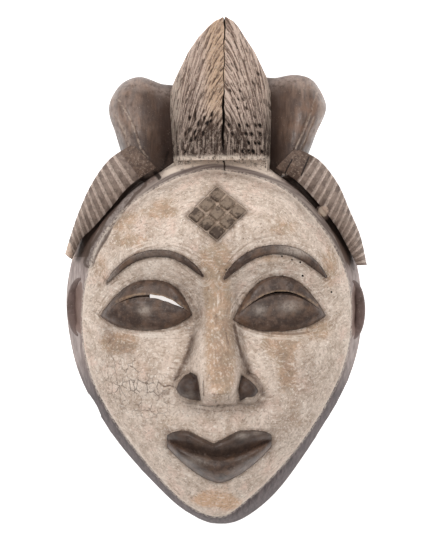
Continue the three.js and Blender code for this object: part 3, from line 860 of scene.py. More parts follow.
def chip_body():
    turn = full_turn(14)

    def ring(at, radius):
        out = radius * np.cos(turn) * (1 + 0.2 * np.sin(turn * 3 + radius))
        return np.stack([at[0] + out * 0.8, at[1] + out * 0.5, chip["height"] * (np.sin(turn) + 0.6)], 1)

    start, mid, end = (np.array(chip[k], float) for k in ("start", "middle", "end"))
    rings = [ring(start, 1), ring(lerp(start, mid, 0.4), 2.6), ring(mid, chip["radius"]),
             ring(lerp(mid, end, 0.5), 2.2), ring(end, 1)]
    return loft("chip", rings, "side")


def clay_body():
    """A lump of clay that fills the recess beside the right braid at one place"""
    turn = full_turn(20)
    (x, y, z), (half_x, half_y, half_z) = clay["middle"], clay["half"]
    rings = []
    for tilt in np.linspace(-1.45, 1.45, 11):
        lumps = 0.25 * np.sin(2 * turn + 2.4) + 0.14 * np.sin(5 * turn + 4 * tilt)
        around = np.cos(tilt) ** 0.7 * (1 + lumps)
        rings.append(column(x + half_x * around * np.cos(turn), y + half_y * around * np.sin(turn),
                            z + half_z * np.sin(tilt)))
    return loft("clay", rings, "side")


# Worm holes: place on the face and radius
worm_holes = [(39, 12.5, 0.6), (45, 10.5, 0.55), (50, 9, 0.6), (51.5, 1, 0.7), (69, -8.7, 0.6), (6, 4.5, 0.5),
              (40, -9.5, 0.6)]


def worm_hole_body(k):
    x, y, radius = worm_holes[k]
    turn = full_turn(9)
    z = float(face_height(np.array([x]), np.array([y]))[0])
    ring = lambda level: column(x + radius * np.cos(turn), y + radius * np.sin(turn), level)
    return loft(f"worm hole {k}", [ring(z - 2.5), ring(z + 2.5)], "gap")


def carve_body(whole, tool, operation):
    """Joins a tool to the whole or cuts it away, and keeps the tool's material on the new faces"""
    step = whole.modifiers.new(operation.lower(), "BOOLEAN")
    step.operation = operation
    step.solver = "MANIFOLD"
    step.object = tool
    bpy.context.view_layer.update()
    graph = bpy.context.evaluated_depsgraph_get()
    mesh = bpy.data.meshes.new_from_object(whole.evaluated_get(graph))
    whole.modifiers.clear()
    old = whole.data
    whole.data = mesh
    bpy.data.meshes.remove(old)
    bpy.data.objects.remove(tool)


def carve_mask():
    whole = head_body()
    solid = [crest_body(), lobe_body(0), lobe_body(1), braid_body(0), braid_body(1), ear_body(0), ear_body(1),
             clay_body()]
    for piece in solid:
        carve_body(whole, piece, "UNION")
    gone = [hollow_body(), crack_body(), chip_body()]
    gone += [make(which) for make in (slit_body, lid_line_body) for which in (0, 1)]
    gone += [worm_hole_body(k) for k in range(len(worm_holes))]
    for piece in gone:
        carve_body(whole, piece, "DIFFERENCE")
    return whole


# Paint and wear, with painted shade and painted highlights, seen from the front
ochre_patches = [
    (-57, 34, 9, 6, 0.9), (-50, 22, 12, 5, 0.7), (-30, 45, 9, 6, 0.5), (-34, 38, 14, 5, 0.6),
    (-58, -39, 13, 7, 0.9), (-45, -54, 14, 8, 0.35), (-27, 12, 10, 5, 0.4), (37, -39, 12, 8, 0.95),
    (42, -58, 9, 14, 0.6), (61, -31, 10, 8, 0.75), (1, -20, 8, 30, 0.6), (3, -52, 9, 24, 0.75),
    (-7, -133, 9, 5, 0.8), (8, -135, 9, 5, 0.9), (2, -126, 12, 4, 0.35), (40, 30, 14, 9, 0.5),
    (68, 6, 7, 18, 0.6),
    (-69, 6, 7, 16, 0.5), (30, 12, 12, 5, 0.5), (20, -12, 7, 4, 0.5), (0, 12, 11, 10, 0.75),
    (0, -8, 9, 12, 0.55), (4, -40, 6, 16, 0.6), (-30, -85, 12, 8, 0.4),
    (48, -84, 9, 12, 0.4),
]
# Grime and painted shade: a line of points, half width and strength; the shade lies in the creases beside and
# under the nose and at the mouth's corners
grime_and_shade_lines = [
    ([(-12.5, -32), (-15.5, -44), (-19, -51), (-22.5, -60.5)], 3.5, 0.7),
    ([(10.6, -30), (13, -38.5), (15.4, -48), (18.3, -56), (23, -66), (26, -74)], 4, 0.8),
    ([(-16, -76), (-4, -80), (10, -79), (24, -74)], 4.2, 0.5),
    ([(-14, -30), (-11, -22), (-13, -12)], 5, 0.8),
    ([(-15, -15), (-15, -22), (-18, -28)], 3.5, 1.0),
    ([(-23, -7), (-16.5, -11), (-13.5, -18)], 3.8, 1.0),
    ([(6, -30), (8, -20), (14, -10)], 4, 0.55),
    ([(-60, 33), (-40, 50), (-10, 62), (16, 61), (45, 48), (64, 26)], 3, 0.4),
    ([(-66, -32), (-61, -40), (-52, -43)], 4.5, 0.75),
    ([(40, -46), (43, -56), (41, -64)], 3, 0.45),
    ([(-40, -66), (-34, -70)], 5, 0.4),
    ([(-29, -92), (-30, -98), (-28, -104)], 3, 0.7),
    ([(33, -92), (34, -98), (30, -104)], 3, 0.6),
]
crease_lines = [
    ([(-14, -35), (-16.5, -45), (-20, -53), (-24.5, -60)], 2.3, 0.62),
    ([(-34, -62), (-31, -64.5), (-27, -64), (-24, -65)], 0.5, 0.8),
    ([(-34, -61), (-35, -65), (-34, -69)], 0.5, 0.7),
    ([(10.8, -28), (13, -38), (15.4, -47)], 1.1, 0.9),
    ([(15.4, -46), (19, -55), (25, -63), (28, -69)], 2.6, 0.62),
    ([(5.9, -32.5), (6.6, -36), (7.4, -39.5)], 0.7, 0.75),
    ([(0.4, -21.5), (0, -28.5)], 1.3, 0.5),
    ([(-3.6, -55.5), (-5.6, -60.5)], 0.6, 0.6),
    ([(-7.4, -61), (-7.2, -69.5)], 0.7, 0.8),
    ([(-1, -68), (0, -73.5)], 0.5, 0.7),
    ([(7.4, -69.5), (8.2, -73.5)], 0.5, 0.75),
    ([(4.6, 70), (5.2, 66), (5.6, 62)], 0.7, 1.0),
    ([(-13, -77.5), (-2, -79), (12, -78.5)], 0.6, 0.7),
    ([(9.4, -24), (10, -17), (14.2, -11), (21, -4.5), (27.5, 0.5)], 0.45, 0.62),
    ([(12, -27), (18, -30), (26, -32)], 0.45, 0.55),
    ([(-69, -23), (-74, -20)], 0.8, 0.6),
    ([(-62, -36), (-66, -42), (-60, -50)], 0.5, 0.6),
]
hair_lines = [
    ([(-36.5, 63), (-34, 60)], 1.6, 1.0),
    ([(45.6, 70.5), (43, 66), (41.4, 62.5)], 0.6, 0.9),
    ([(55.8, 72.3), (53.5, 67), (51, 61)], 0.6, 0.9),
    ([(-29, 76), (-31, 68), (-33.5, 64)], 0.9, 0.9),
]
fresh_patches = [(-90, 15, 4, 7, 1.0), (64.3, 39.8, 3.4, 3.6, 1.0)]
# Darker patches: painted shade on the nose's right side and the right cheek and jaw, stains elsewhere;
# centre, half widths and strength
stain_and_shade_patches = [
    (42, -90, 15, 18, 0.75), (54, -60, 12, 16, 0.5), (38, -42, 10, 8, 0.6), (-58, -40, 10, 6, 0.6),
    (5, -48, 7, 22, 1.0), (3, -44, 5, 12, 0.6), (38, 4, 14, 4, 0.3),
    (-30, 40, 10, 5, 0.3), (2, 16, 14, 8, 0.35), (46, 101, 13, 13, 0.7),
]
temple_line = [
    (-76.5, 9), (-73.4, 16.6), (-67.8, 25), (-63.8, 33.6), (-57.4, 41.7), (-50.8, 51.2), (-44.8, 56.4),
]
# Pale patches: painted highlights on the lids, the lower lip, a nostril and the brows, and rubbed spots
# elsewhere; centre, half widths and strength
highlight_and_rub_patches = [
    (-42.5, -19.5, 4, 3, 0.7), (43.5, -17.5, 6, 3.4, 0.6), (-13, -108.5, 8, 3, 0.35), (17, -108, 4, 2, 0.2),
    (-38, 13.5, 20, 3, 0.25), (-15.6, -69.5, 4, 3, 0.7),
    (50, 16, 13, 3.2, 1.0), (-62, 0, 6, 5, 0.5), (26, -19.5, 4, 3, 0.55), (15.5, -93.5, 4, 2, 1.0),
    (24, -92, 3, 1.6, 0.7), (-46, -32, 10, 2, 0.4), (17, 34, 5, 4, 0.5), (12, 43, 4, 3, 0.4),
]
nostrils = [
    [(-14.8, -56), (-11.2, -58), (-10, -64), (-8.9, -72.8), (-15.4, -71.8), (-21.3, -69.4), (-23.6, -65.8),
     (-21.3, -61), (-18.3, -57.5)],
    [(14.8, -57.5), (19, -60), (23, -63.5), (25, -67), (22.5, -70), (17.7, -70.5), (14.2, -73), (13, -66.5)],
]
crackle_patches = [
    (-52, -62, 16, 16, 1.0), (-36, -74, 12, 10, 0.8), (52, -50, 14, 10, 0.4), (-30, 50, 12, 6, 0.3),
]
# Pale lines along the lobes' top and outer edges: painted sheen; a line of points, half width and strength
lobe_sheen_lines = [
    ([(-61, 99), (-55.5, 88), (-50, 75), (-43, 64)], 3.5, 0.8),
    ([(-62, 106), (-52, 117), (-38, 115), (-26, 110)], 4, 0.7),
    ([(63, 112), (64, 99), (58, 86)], 3, 0.8),
    ([(26, 114), (44, 120), (60, 114)], 4, 0.7),
    ([(-54, 104), (-50, 92)], 7, 0.55),
]


def lid_highlight_line(eye):
    """The lit edge over the line between the lids, where a highlight is painted"""
    share = np.linspace(eye["line"]["start"] + 0.04, eye["line"]["end"] - 0.06, 30)
    x, y = corner_line(eye, share)
    return np.stack([x, y + eye["line"]["rise"] * (1 - share ** 2) + 1.4], 1)


def lobe_valley(x, y):
    """0 at the crown of a lobe and 1 in its valley beside the crest"""
    share = np.zeros(x.shape)
    for each in lobes:
        inward, crown = into_valley(each, x, y)
        share = np.maximum(share, inward * (x * crown > 0))
    return share


def past_start(x, y):
    """Distance past the line where a braid's plaits begin"""
    past = []
    for each in braids:
        outer, inner = braid_edges(each)(each["plain"])
        across = (inner - outer) / np.linalg.norm(inner - outer)
        down = np.array([across[1], -across[0]]) * math.copysign(1, across[0])
        past.append((x - outer[0]) * down[0] + (y - outer[1]) * down[1])
    return np.where(x < 0, past[0], past[1])


def ledge_dust_and_light(x, y):
    """Kaolin that has gathered on the ledge under the crest, painted paler where the crest's shadow falls:
    painted light as well as dust
    """
    across = 1 - smooth(np.abs(x - 3), 30, 40)
    return across * smooth(y, 52, 58) * (1 - smooth(y, 71.5, 73.5))


def lid_outline(eye):
    place = np.linspace(-1, 1, 41)
    x, y = corner_line(eye, place)
    top, bottom = lid_edges(eye, place)
    return ribbon(x, y + top, y + bottom)


def brow_outline(each):
    share = np.linspace(0, 1, 33)
    y, half, _ = brow_line(each, share)
    line = np.stack([lerp(each["outer"][0], each["inner"][0], share), y], 1)
    ahead = unit(np.gradient(line, axis=0))
    off = np.stack([-ahead[:, 1], ahead[:, 0]], 1) * half[:, None]
    return np.concatenate([line + off, (line - off)[::-1]])


def lip_outline():
    x = mouth["x"] + mouth["half"] * np.linspace(-1, 1, 41)
    top, _, bottom, _ = lip_lines(x)
    return ribbon(x, top, bottom)


def blobs(x, y, patches):
    total = np.zeros(x.shape)
    for cx, cy, half_x, half_y, strength in patches:
        total += strength * np.exp(-(((x - cx) / half_x) ** 2 + ((y - cy) / half_y) ** 2))
    return np.clip(total, 0, 1)


def smudges(x, y, lines):
    total = np.zeros(x.shape)
    for points, half, strength in lines:
        total = np.maximum(total, strength * np.exp(-((line_distance(x, y, points) / half) ** 2)))
    return total


def deepest(x, y, outlines):
    return np.max([inside_depth(x, y, outline) for outline in outlines], axis=0)


def paint(mesh):
    """Signed distances to the painted outlines, and soft fields of stain, dirt, wear, painted shade and
    painted highlights, on every point
    """
    x, y, z = points_of(mesh).T
    out, angle = out_from(face_radius, x, y)
    fields = {
        "lids": deepest(x, y, [lid_outline(eye) for eye in eyes]),
        "brows": deepest(x, y, [brow_outline(each) for each in brows]),
        "lips": deepest(x, y, [lip_outline()]),
        "scales": deepest(x, y, scales()),
        "nostrils": deepest(x, y, nostrils),
        "inland": (1 - out) * face_radius(angle),
        "ochre": blobs(x, y, ochre_patches),
        "grime_and_shade": smudges(x, y, grime_and_shade_lines),
        "creases": smudges(x, y, crease_lines + hair_lines),
        "stain_and_shade": blobs(x, y, stain_and_shade_patches),
        "temple": smudges(x, y, [(temple_line, 3.2, 1.0)]),
        "fresh": blobs(x, y, fresh_patches),
        "pale": blobs(x, y, highlight_and_rub_patches),
        "crackle": blobs(x, y, crackle_patches),
        "nose": smudges(x, y, [([(1, -14), (1, -40), (1.5, -70)], 9, 1.0)]),
        "lid_highlight": smudges(x, y, [(lid_highlight_line(eye), 0.6, 1.0) for eye in eyes]),
        "upper_lip_shade": smooth(y - lip_lines(x)[1], -0.5, 0.5),
        "off_ridge": x - ridge_x(y),
        "strand": y + np.abs(x - ridge_x(y)) + 0.085 * (x - ridge_x(y)) ** 2,
        "valley": lobe_valley(x, y),
        "recess": deepest(x, y, shaded_recesses),
        "lobe_sheen": smudges(x, y, lobe_sheen_lines),
        "dust": ledge_dust_and_light(x, y),
        "plaits": past_start(x, y),
        "height": y,
        "ears": np.where(z > ear["tip_z"] - ear["depth"], deepest(x, y, ear_outlines), -9),
    }
    for name, values in fields.items():
        mesh.attributes.new(name, "FLOAT", "POINT").data.foreach_set("value", values.astype(np.float32))


# Materials
def colour(red, green, blue):
    """A colour as the eye reads it, 0 to 255, turned to linear light"""
    shares = [c / 255 for c in (red, green, blue)]
    return tuple(s / 12.92 if s <= 0.04045 else ((s + 0.055) / 1.055) ** 2.4 for s in shares) + (1.0,)


class Maker:
    """Builds a node material step by step"""

    def __init__(self, name):
        self.material = bpy.data.materials.new(name)
        self.material.use_nodes = True
        self.tree = self.material.node_tree
        self.shader = self.tree.nodes["Principled BSDF"]
        place = self.node("ShaderNodeTexCoord").outputs["Object"]
        scaled = self.node("ShaderNodeVectorMath", operation="SCALE")
        self.link(place, scaled.inputs[0])
        scaled.inputs["Scale"].default_value = 1 / MM
        self.place = scaled.outputs[0]

    def node(self, kind, **settings):
        made = self.tree.nodes.new(kind)
        for key, value in settings.items():
            setattr(made, key, value)
        return made

    def link(self, a, b):
        self.tree.links.new(a, b)

    def put(self, value, socket):
        if isinstance(value, bpy.types.NodeSocket):
            self.link(value, socket)
        else:
            socket.default_value = value

    def stretched(self, stretch, place=None):
        made = self.node("ShaderNodeVectorMath", operation="MULTIPLY")
        self.put(place or self.place, made.inputs[0])
        made.inputs[1].default_value = stretch
        return made.outputs[0]

    def noise(self, size, detail=3, rough=0.55, place=None, seed=0.0, warp=0.0):
        """Noise from 0 to 1 with features of a size in mm"""
        made = self.node("ShaderNodeTexNoise", noise_dimensions="4D")
        self.put(place or self.place, made.inputs["Vector"])
        made.inputs["W"].default_value = seed
        made.inputs["Scale"].default_value = 1 / size
        made.inputs["Detail"].default_value = detail
        made.inputs["Roughness"].default_value = rough
        made.inputs["Distortion"].default_value = warp
        return made.outputs["Fac"]

    def cracks(self, size, width, place=None):
        """1 on the borders of irregular cells, 0 elsewhere"""
        made = self.node("ShaderNodeTexVoronoi", feature="DISTANCE_TO_EDGE")
        self.put(place or self.warped(size * 0.35, size * 0.5), made.inputs["Vector"])
        made.inputs["Scale"].default_value = 1 / size
        return self.band(made.outputs["Distance"], width / size, 0)

    def spots(self, size, radius, seed=0.0):
        """1 in scattered round spots"""
        made = self.node("ShaderNodeTexVoronoi", voronoi_dimensions="4D", feature="F1")
        self.put(self.place, made.inputs["Vector"])
        made.inputs["W"].default_value = seed
        made.inputs["Scale"].default_value = 1 / size
        return self.band(made.outputs["Distance"], radius / size, radius / size * 0.6)

    def warped(self, amount, size):
        shift = self.node("ShaderNodeTexNoise")
        self.put(self.place, shift.inputs["Vector"])
        shift.inputs["Scale"].default_value = 1 / size
        made = self.node("ShaderNodeVectorMath", operation="MULTIPLY_ADD")
        self.link(shift.outputs["Color"], made.inputs[0])
        made.inputs[1].default_value = (amount,) * 3
        self.link(self.place, made.inputs[2])
        return made.outputs[0]

    def band(self, value, low, high):
        """0 below low and 1 above high"""
        made = self.node("ShaderNodeMapRange", interpolation_type="SMOOTHSTEP")
        self.put(value, made.inputs["Value"])
        made.inputs["From Min"].default_value = low
        made.inputs["From Max"].default_value = high
        return made.outputs["Result"]

    def cloud(self, low, high, *shape, **more):
        """Noise with its soft border between two levels"""
        return self.band(self.noise(*shape, **more), low, high)

    def ramp(self, name, low, high):
        return self.band(self.field(name), low, high)

    def frayed(self, name, amount, low, high, *shape, **more):
        """The border of a field, frayed by noise"""
        return self.band(self.sum(self.field(name), self.noise(*shape, **more), amount), low, high)

    def reckon(self, operation, *values):
        made = self.node("ShaderNodeMath", operation=operation)
        for value, socket in zip(values, made.inputs):
            self.put(value, socket)
        return made.outputs[0]

    def sum(self, a, b, scale=1.0):
        return self.reckon("MULTIPLY_ADD", b, scale, a)

    def times(self, a, b):
        return self.reckon("MULTIPLY", a, b)

    def most(self, a, b):
        return self.reckon("MAXIMUM", a, b)

    def mix(self, a, b, share):
        """Mixes two colours, each worked out before or given as the eye reads it"""
        made = self.node("ShaderNodeMix", data_type="RGBA", clamp_factor=True)
        self.put(share, made.inputs[0])
        for value, socket in ((a, made.inputs[6]), (b, made.inputs[7])):
            self.put(colour(*value) if isinstance(value, tuple) else value, socket)
        return made.outputs[2]

    def layer(self, base, tone, share, strength):
        return self.mix(base, tone, self.times(share, strength))

    def blend(self, a, b, share):
        made = self.node("ShaderNodeMix", data_type="FLOAT", clamp_factor=True)
        self.put(share, made.inputs[0])
        self.put(a, made.inputs[2])
        self.put(b, made.inputs[3])
        return made.outputs[0]

    def field(self, name):
        return self.node("ShaderNodeAttribute", attribute_type="GEOMETRY", attribute_name=name).outputs["Fac"]

    def strokes(self, field, size, seed=0.0):
        """Streaks that run along the lines on which a field stays the same"""
        lifted = self.node("ShaderNodeCombineXYZ")
        self.put(field, lifted.inputs["X"])
        made = self.node("ShaderNodeVectorMath", operation="MULTIPLY_ADD")
        self.link(self.place, made.inputs[0])
        made.inputs[1].default_value = (0.1, 0.1, 0.0)
        self.link(lifted.outputs[0], made.inputs[2])
        return self.noise(size, 3, 0.65, made.outputs[0], seed)

    def bumps(self, steps):
        """Bumps laid over each other, each a height and its size in mm"""
        last = None
        for height, size in steps:
            made = self.node("ShaderNodeBump")
            made.inputs["Distance"].default_value = size * MM
            made.inputs["Strength"].default_value = 1.0
            self.put(height, made.inputs["Height"])
            if last is not None:
                self.link(last, made.inputs["Normal"])
            last = made.outputs["Normal"]
        return last

    def finish(self, base, rough, normal, specular=0.35):
        self.put(base, self.shader.inputs["Base Color"])
        self.put(rough, self.shader.inputs["Roughness"])
        self.shader.inputs["Specular IOR Level"].default_value = specular
        self.link(normal, self.shader.inputs["Normal"])
        return self.material


def temple_band(m, base):
    """The grey band at the left temple, which runs over the edge of the face between two dark lines"""
    across = m.sum(m.field("temple"), m.noise(2.0, 4, 0.7, seed=41), 0.3)
    base = m.layer(base, (86, 70, 62), m.band(across, 0.36, 0.56), 0.85)
    tone = m.mix((154, 142, 136), (114, 100, 93), m.cloud(0.4, 0.62, 1.6, 4, 0.7, seed=42))
    return m.layer(base, tone, m.band(across, 0.78, 0.98), 0.9)


def face_material():
    m = Maker("kaolin")
    base = m.mix((222, 203, 188), (190, 169, 152), m.cloud(0.38, 0.66, 6, 5, 0.62))
    base = m.layer(base, (224, 196, 180), m.cloud(0.5, 0.68, 15, 2, seed=3), 0.8)
    base = m.layer(base, (172, 150, 132), m.cloud(0.5, 0.66, 11, 4, seed=31), 0.6)
    base = m.layer(base, (236, 220, 206), m.cloud(0.5, 0.66, 14, 4, seed=34), 0.6)
    base = m.layer(base, (186, 164, 146), m.cloud(0.48, 0.64, 2.6, 4, 0.7, seed=21), 0.6)
    ochre_edge = m.frayed("ochre", 0.7, 0.6, 0.95, 5, 5, 0.7, seed=2)
    ochre = m.mix((188, 150, 118), (162, 136, 108), m.cloud(0.4, 0.6, 6, 3, seed=32))
    ochre = m.mix(ochre, (208, 164, 126), m.ramp("height", -112, -122))
    ochre_share = m.times(ochre_edge, 0.68)
    base = m.mix(base, ochre, ochre_share)
    # Darker patches: painted shade on the right side of the nose and the right cheek and jaw, stains
    # elsewhere
    stained_and_shaded = m.times(m.field("stain_and_shade"), m.cloud(0.3, 0.62, 3.4, 4, 0.7, seed=43))
    base = m.layer(base, (138, 114, 96), stained_and_shaded, 0.62)

    along_nose = m.noise(1.5, 3, 0.65, m.stretched((1, 0.22, 1)), 37.0)
    fibres = m.noise(1.5, 3, 0.65, m.stretched((0.34, 1, 1), m.warped(26, 24)), 27.0)
    fibres = m.blend(fibres, along_nose, m.field("nose"))
    base = m.layer(base, (146, 124, 107), m.band(fibres, 0.53, 0.68), 0.65)
    base = m.layer(base, (240, 227, 214), m.band(fibres, 0.47, 0.34), 0.6)
    base = m.layer(base, (130, 108, 92), m.cloud(0.54, 0.68, 1.3, 4, 0.75, seed=5), 0.75)
    light_specks = m.times(m.cloud(0.54, 0.67, 1.3, 4, 0.75, seed=9), m.blend(0.85, 0.3, ochre_share))
    base = m.mix(base, (248, 238, 228), light_specks)

    lines = m.times(m.cracks(5.5, 0.3), m.times(m.field("crackle"), m.cloud(0.38, 0.52, 7, 3, seed=7)))
    base = m.layer(base, (104, 84, 70), lines, 0.8)
    # Dark smudges: grime, and painted shade in the creases beside and under the nose and at the mouth's
    # corners
    grime_and_shade = m.times(m.field("grime_and_shade"), m.cloud(0.3, 0.62, 2.6, 5, 0.75, seed=4))
    base = m.layer(base, (96, 77, 65), grime_and_shade, 0.8)
    creases = m.frayed("creases", 0.9, 0.65, 1.3, 1.4, 5, 0.75, seed=33)
    base = m.layer(base, (84, 62, 49), creases, 0.85)
    base = temple_band(m, base)
    pits = m.times(m.spots(3.4, 0.42, 2.0), m.cloud(0.46, 0.6, 9, 2, seed=11))
    base = m.layer(base, (92, 74, 62), pits, 0.85)

    near = m.most(m.field("brows"), m.field("lids"))
    strokes = m.strokes(near, 1.7, 22.0)
    by_brow = m.times(m.band(near, -8.5, -3), m.cloud(0.3, 0.55, 9, 2, seed=23))
    base = m.layer(base, (138, 116, 98), m.times(by_brow, m.band(strokes, 0.53, 0.64)), 0.75)
    base = m.layer(base, (240, 227, 214), m.times(by_brow, m.band(strokes, 0.47, 0.37)), 0.6)

    ragged = m.sum(-0.42, m.noise(1.3, 4, 0.7, seed=6), 0.9)
    shapes = {name: m.sum(m.field(name), ragged) for name in ("lids", "brows", "lips", "nostrils")}
    shapes["scales"] = m.sum(m.sum(m.field("scales"), ragged), 0.7)
    painted = shapes["lids"]
    for name in ("brows", "lips", "scales", "nostrils"):
        painted = m.most(painted, shapes[name])
    halo = m.times(m.band(painted, -2.6, 0.2), m.cloud(0.3, 0.58, 3, 4, 0.7, seed=12))
    base = m.layer(base, (112, 92, 78), halo, 0.7)
    dark = m.band(painted, -0.15, 0.3)
    ink = m.mix((64, 48, 40), (98, 77, 65), m.cloud(0.4, 0.66, 5, 5, 0.65, seed=13))
    ink = m.layer(ink, (116, 88, 68), m.cloud(0.5, 0.68, 9, 3, seed=14), 0.5)
    ink = m.layer(ink, (132, 116, 104), m.cloud(0.55, 0.7, 1.2, 4, 0.75, seed=24), 0.6)
    # Painted highlights on the lids, lips, a nostril and the brows, with pale rubbed spots
    rubs_and_highlights = m.most(m.field("pale"), m.times(m.cloud(0.6, 0.72, 2.0, 4, 0.75, seed=15), 0.45))
    rubs_and_highlights = m.times(rubs_and_highlights, m.blend(0.45, 1.0, m.cloud(0.4, 0.55, 1.6, 4, 0.75, seed=25)))
    ink = m.mix(ink, (176, 162, 150), rubs_and_highlights)
    # Darker upper lip: painted shade
    upper_lip_shade = m.times(m.ramp("lips", -0.5, 0.3), m.field("upper_lip_shade"))
    ink = m.layer(ink, (60, 50, 46), upper_lip_shade, 0.4)
    ink = m.layer(ink, (54, 40, 34), m.ramp("nostrils", -0.4, 0.6), 0.55)
    # Painted highlight along the lit edge above the line between the lids
    lid_highlight = m.times(m.field("lid_highlight"), m.cloud(0.38, 0.56, 2.2, 3, 0.7, seed=28))
    ink = m.layer(ink, (158, 130, 102), lid_highlight, 0.75)
    on_scales = m.ramp("scales", -1.2, -0.8)
    worn = m.band(m.sum(m.noise(1.6, 4, 0.75, seed=26), m.noise(7.5, 1, seed=35), 0.8), 0.8, 1.0)
    scale_tone = m.mix((76, 61, 51), (132, 114, 98), worn)
    seams = m.times(m.ramp("scales", 0.25, -0.2), m.cloud(0.3, 0.5, 2.2, 4, 0.7, seed=36))
    scale_tone = m.layer(scale_tone, (190, 168, 150), seams, 0.8)
    ink = m.mix(ink, scale_tone, on_scales)
    base = m.mix(base, ink, dark)

    edge_pale = m.times(m.ramp("inland", 2.2, 0.2), m.cloud(0.35, 0.55, 3, 4, 0.7, seed=16))
    base = m.layer(base, (230, 214, 200), edge_pale, 0.6)

    gloss = m.times(dark, m.blend(0.75, 1.0, m.cloud(0.6, 0.4, 4, 4, 0.6, seed=17)))
    gloss = m.times(gloss, m.blend(1.0, 0.2, on_scales))
    rough = m.blend(0.88, 0.33, gloss)
    grain = m.sum(m.noise(1.0, 3, 0.65, seed=18), fibres, 0.8)
    normal = m.bumps([(m.times(grain, m.blend(0.45, 0.05, dark)), 1.0),
                      (m.times(m.most(lines, pits), -1.0), 0.4),
                      (m.times(m.times(by_brow, strokes), 0.7), 0.6), (m.times(dark, -1.0), 0.2),
                      (m.times(m.noise(6, 2, seed=20), m.blend(1.0, 0.2, gloss)), 0.8)])
    return m.finish(base, rough, normal, 0.4)


def side_material():
    m = Maker("side")
    streaks = m.noise(1.6, 4, 0.65, m.stretched((1, 0.16, 0.16)), 3.0)
    base = m.mix((138, 123, 119), (176, 160, 154), m.band(streaks, 0.34, 0.66))
    base = m.layer(base, (114, 97, 91), m.cloud(0.5, 0.7, 14, 3, seed=2), 0.6)
    lower = m.mix((72, 60, 60), (104, 90, 89), m.band(streaks, 0.34, 0.66))
    base = m.mix(base, lower, m.ramp("height", -44, -72))
    brown = m.mix((112, 95, 87), (150, 132, 122), m.cloud(0.38, 0.64, 2.4, 5, 0.7, seed=4))
    base = m.mix(base, brown, m.ramp("height", 4, 20))
    in_ear = m.frayed("ears", 0.8, 0.2, 1.0, 1.5, 3, seed=8)
    base = m.mix(base, m.mix((116, 92, 84), (142, 120, 110), streaks), in_ear)
    edge = m.ramp("inland", -6, -3)
    on_band = m.times(edge, m.ramp("height", 0, 12))
    band_strokes = m.strokes(m.field("inland"), 1.3, 8.0)
    band_tone = m.mix((104, 90, 85), (152, 138, 129), m.band(band_strokes, 0.4, 0.6))
    base = m.layer(base, band_tone, on_band, 0.9)
    # Dark brown in the recesses beside the braids: painted shade
    recess = m.frayed("recess", 0.8, 0.1, 0.9, 2.0, 4, 0.7, seed=11)
    base = m.layer(base, m.mix((112, 90, 79), (84, 66, 57), streaks), recess, 0.9)
    base = temple_band(m, base)
    clay_share = m.frayed("fresh", 0.8, 0.75, 0.95, 2.2, 4, 0.7, seed=12)
    base = m.layer(base, (192, 172, 154), clay_share, 0.9)
    dust = m.times(m.ramp("inland", -1.7, -0.3), m.cloud(0.42, 0.58, 1.6, 4, 0.7, seed=5))
    base = m.layer(base, (214, 198, 184), dust, 0.75)
    # Pale ledge under the crest: kaolin dust, painted paler against the crest's shadow: painted light
    off_band = m.ramp("inland", -3.0, -4.2)
    ledge = m.times(m.times(m.field("dust"), off_band), m.cloud(0.28, 0.5, 2, 4, 0.7, seed=7))
    base = m.layer(base, (226, 208, 192), ledge, 0.9)
    creases = m.frayed("creases", 0.9, 0.75, 1.15, 1.4, 5, 0.75, seed=10)
    base = m.mix(base, (50, 38, 32), creases)
    rough = m.blend(0.6, 0.85, m.noise(4, 2, seed=6))
    normal = m.bumps([(m.times(streaks, 0.5), 0.8), (m.noise(0.7, 3, 0.65, seed=9), 0.2)])
    return m.finish(base, rough, normal, 0.35)


def crest_material():
    m = Maker("crest")
    off = m.field("off_ridge")
    low = m.ramp("height", 100, 74)
    streak = m.blend(m.strokes(m.field("strand"), 1.9, 1.0), m.strokes(off, 1.2, 2.0), low)
    dark_strand = m.mix((132, 107, 93), (84, 63, 54), m.ramp("height", 124, 96))
    base = m.mix((217, 192, 176), dark_strand, m.band(streak, 0.44, 0.6))
    tan = m.times(m.times(m.band(off, -15, -6), m.band(off, 1.0, 0)), m.ramp("height", 84, 108))
    base = m.mix(base, (204, 172, 144), m.times(tan, m.blend(0.45, 0.9, m.band(streak, 0.6, 0.48))))
    flecks = m.band(m.sum(m.noise(1.2, 4, 0.75, seed=3), low, 0.05), 0.53, 0.66)
    base = m.layer(base, (216, 199, 183), flecks, 0.75)
    specks = m.cloud(0.54, 0.68, 1.3, 4, 0.75, seed=12)
    base = m.layer(base, (88, 69, 59), specks, 0.75)
    ragged = m.noise(1.5, 4, 0.75, seed=8)
    sides = m.times(m.band(m.sum(m.reckon("ABSOLUTE", off), ragged, 8.0), 28, 33), m.band(ragged, 0.4, 0.55))
    base = m.layer(base, (198, 182, 166), sides, 0.75)
    deep = m.times(m.ramp("height", 104, 80), m.cloud(0.24, 0.5, 3.0, 4, 0.75, seed=9))
    base = m.mix(base, (56, 42, 35), m.times(deep, m.blend(0.62, 0.96, m.band(streak, 0.44, 0.54))))
    # Darker in the cuts and near-black in the deep pits, by cut depth: dirt and painted shade
    cut = m.field("carve")
    dark = m.sum(cut, m.noise(1.0, 4, 0.7, seed=4), 0.4)
    base = m.layer(base, (76, 58, 48), m.band(dark, 0.38, 0.75), 0.9)
    base = m.mix(base, (30, 22, 18), m.band(cut, 0.6, 0.85))
    crumbs = m.times(m.cloud(0.55, 0.63, 1.5, 4, 0.8, seed=14), m.ramp("height", 100, 80))
    base = m.layer(base, (206, 186, 168), crumbs, 0.55)
    # Pale ledge under the crest: kaolin dust, painted paler against the crest's shadow: painted light
    ledge = m.times(m.field("dust"), m.cloud(0.38, 0.52, 2.2, 5, 0.8, seed=7))
    base = m.layer(base, (226, 208, 192), ledge, 0.9)
    rough = m.blend(0.7, 0.9, m.noise(3, 2, seed=5))
    normal = m.bumps([(streak, 1.2), (m.noise(1.1, 4, 0.7, seed=6), 0.8)])
    return m.finish(base, rough, normal, 0.3)


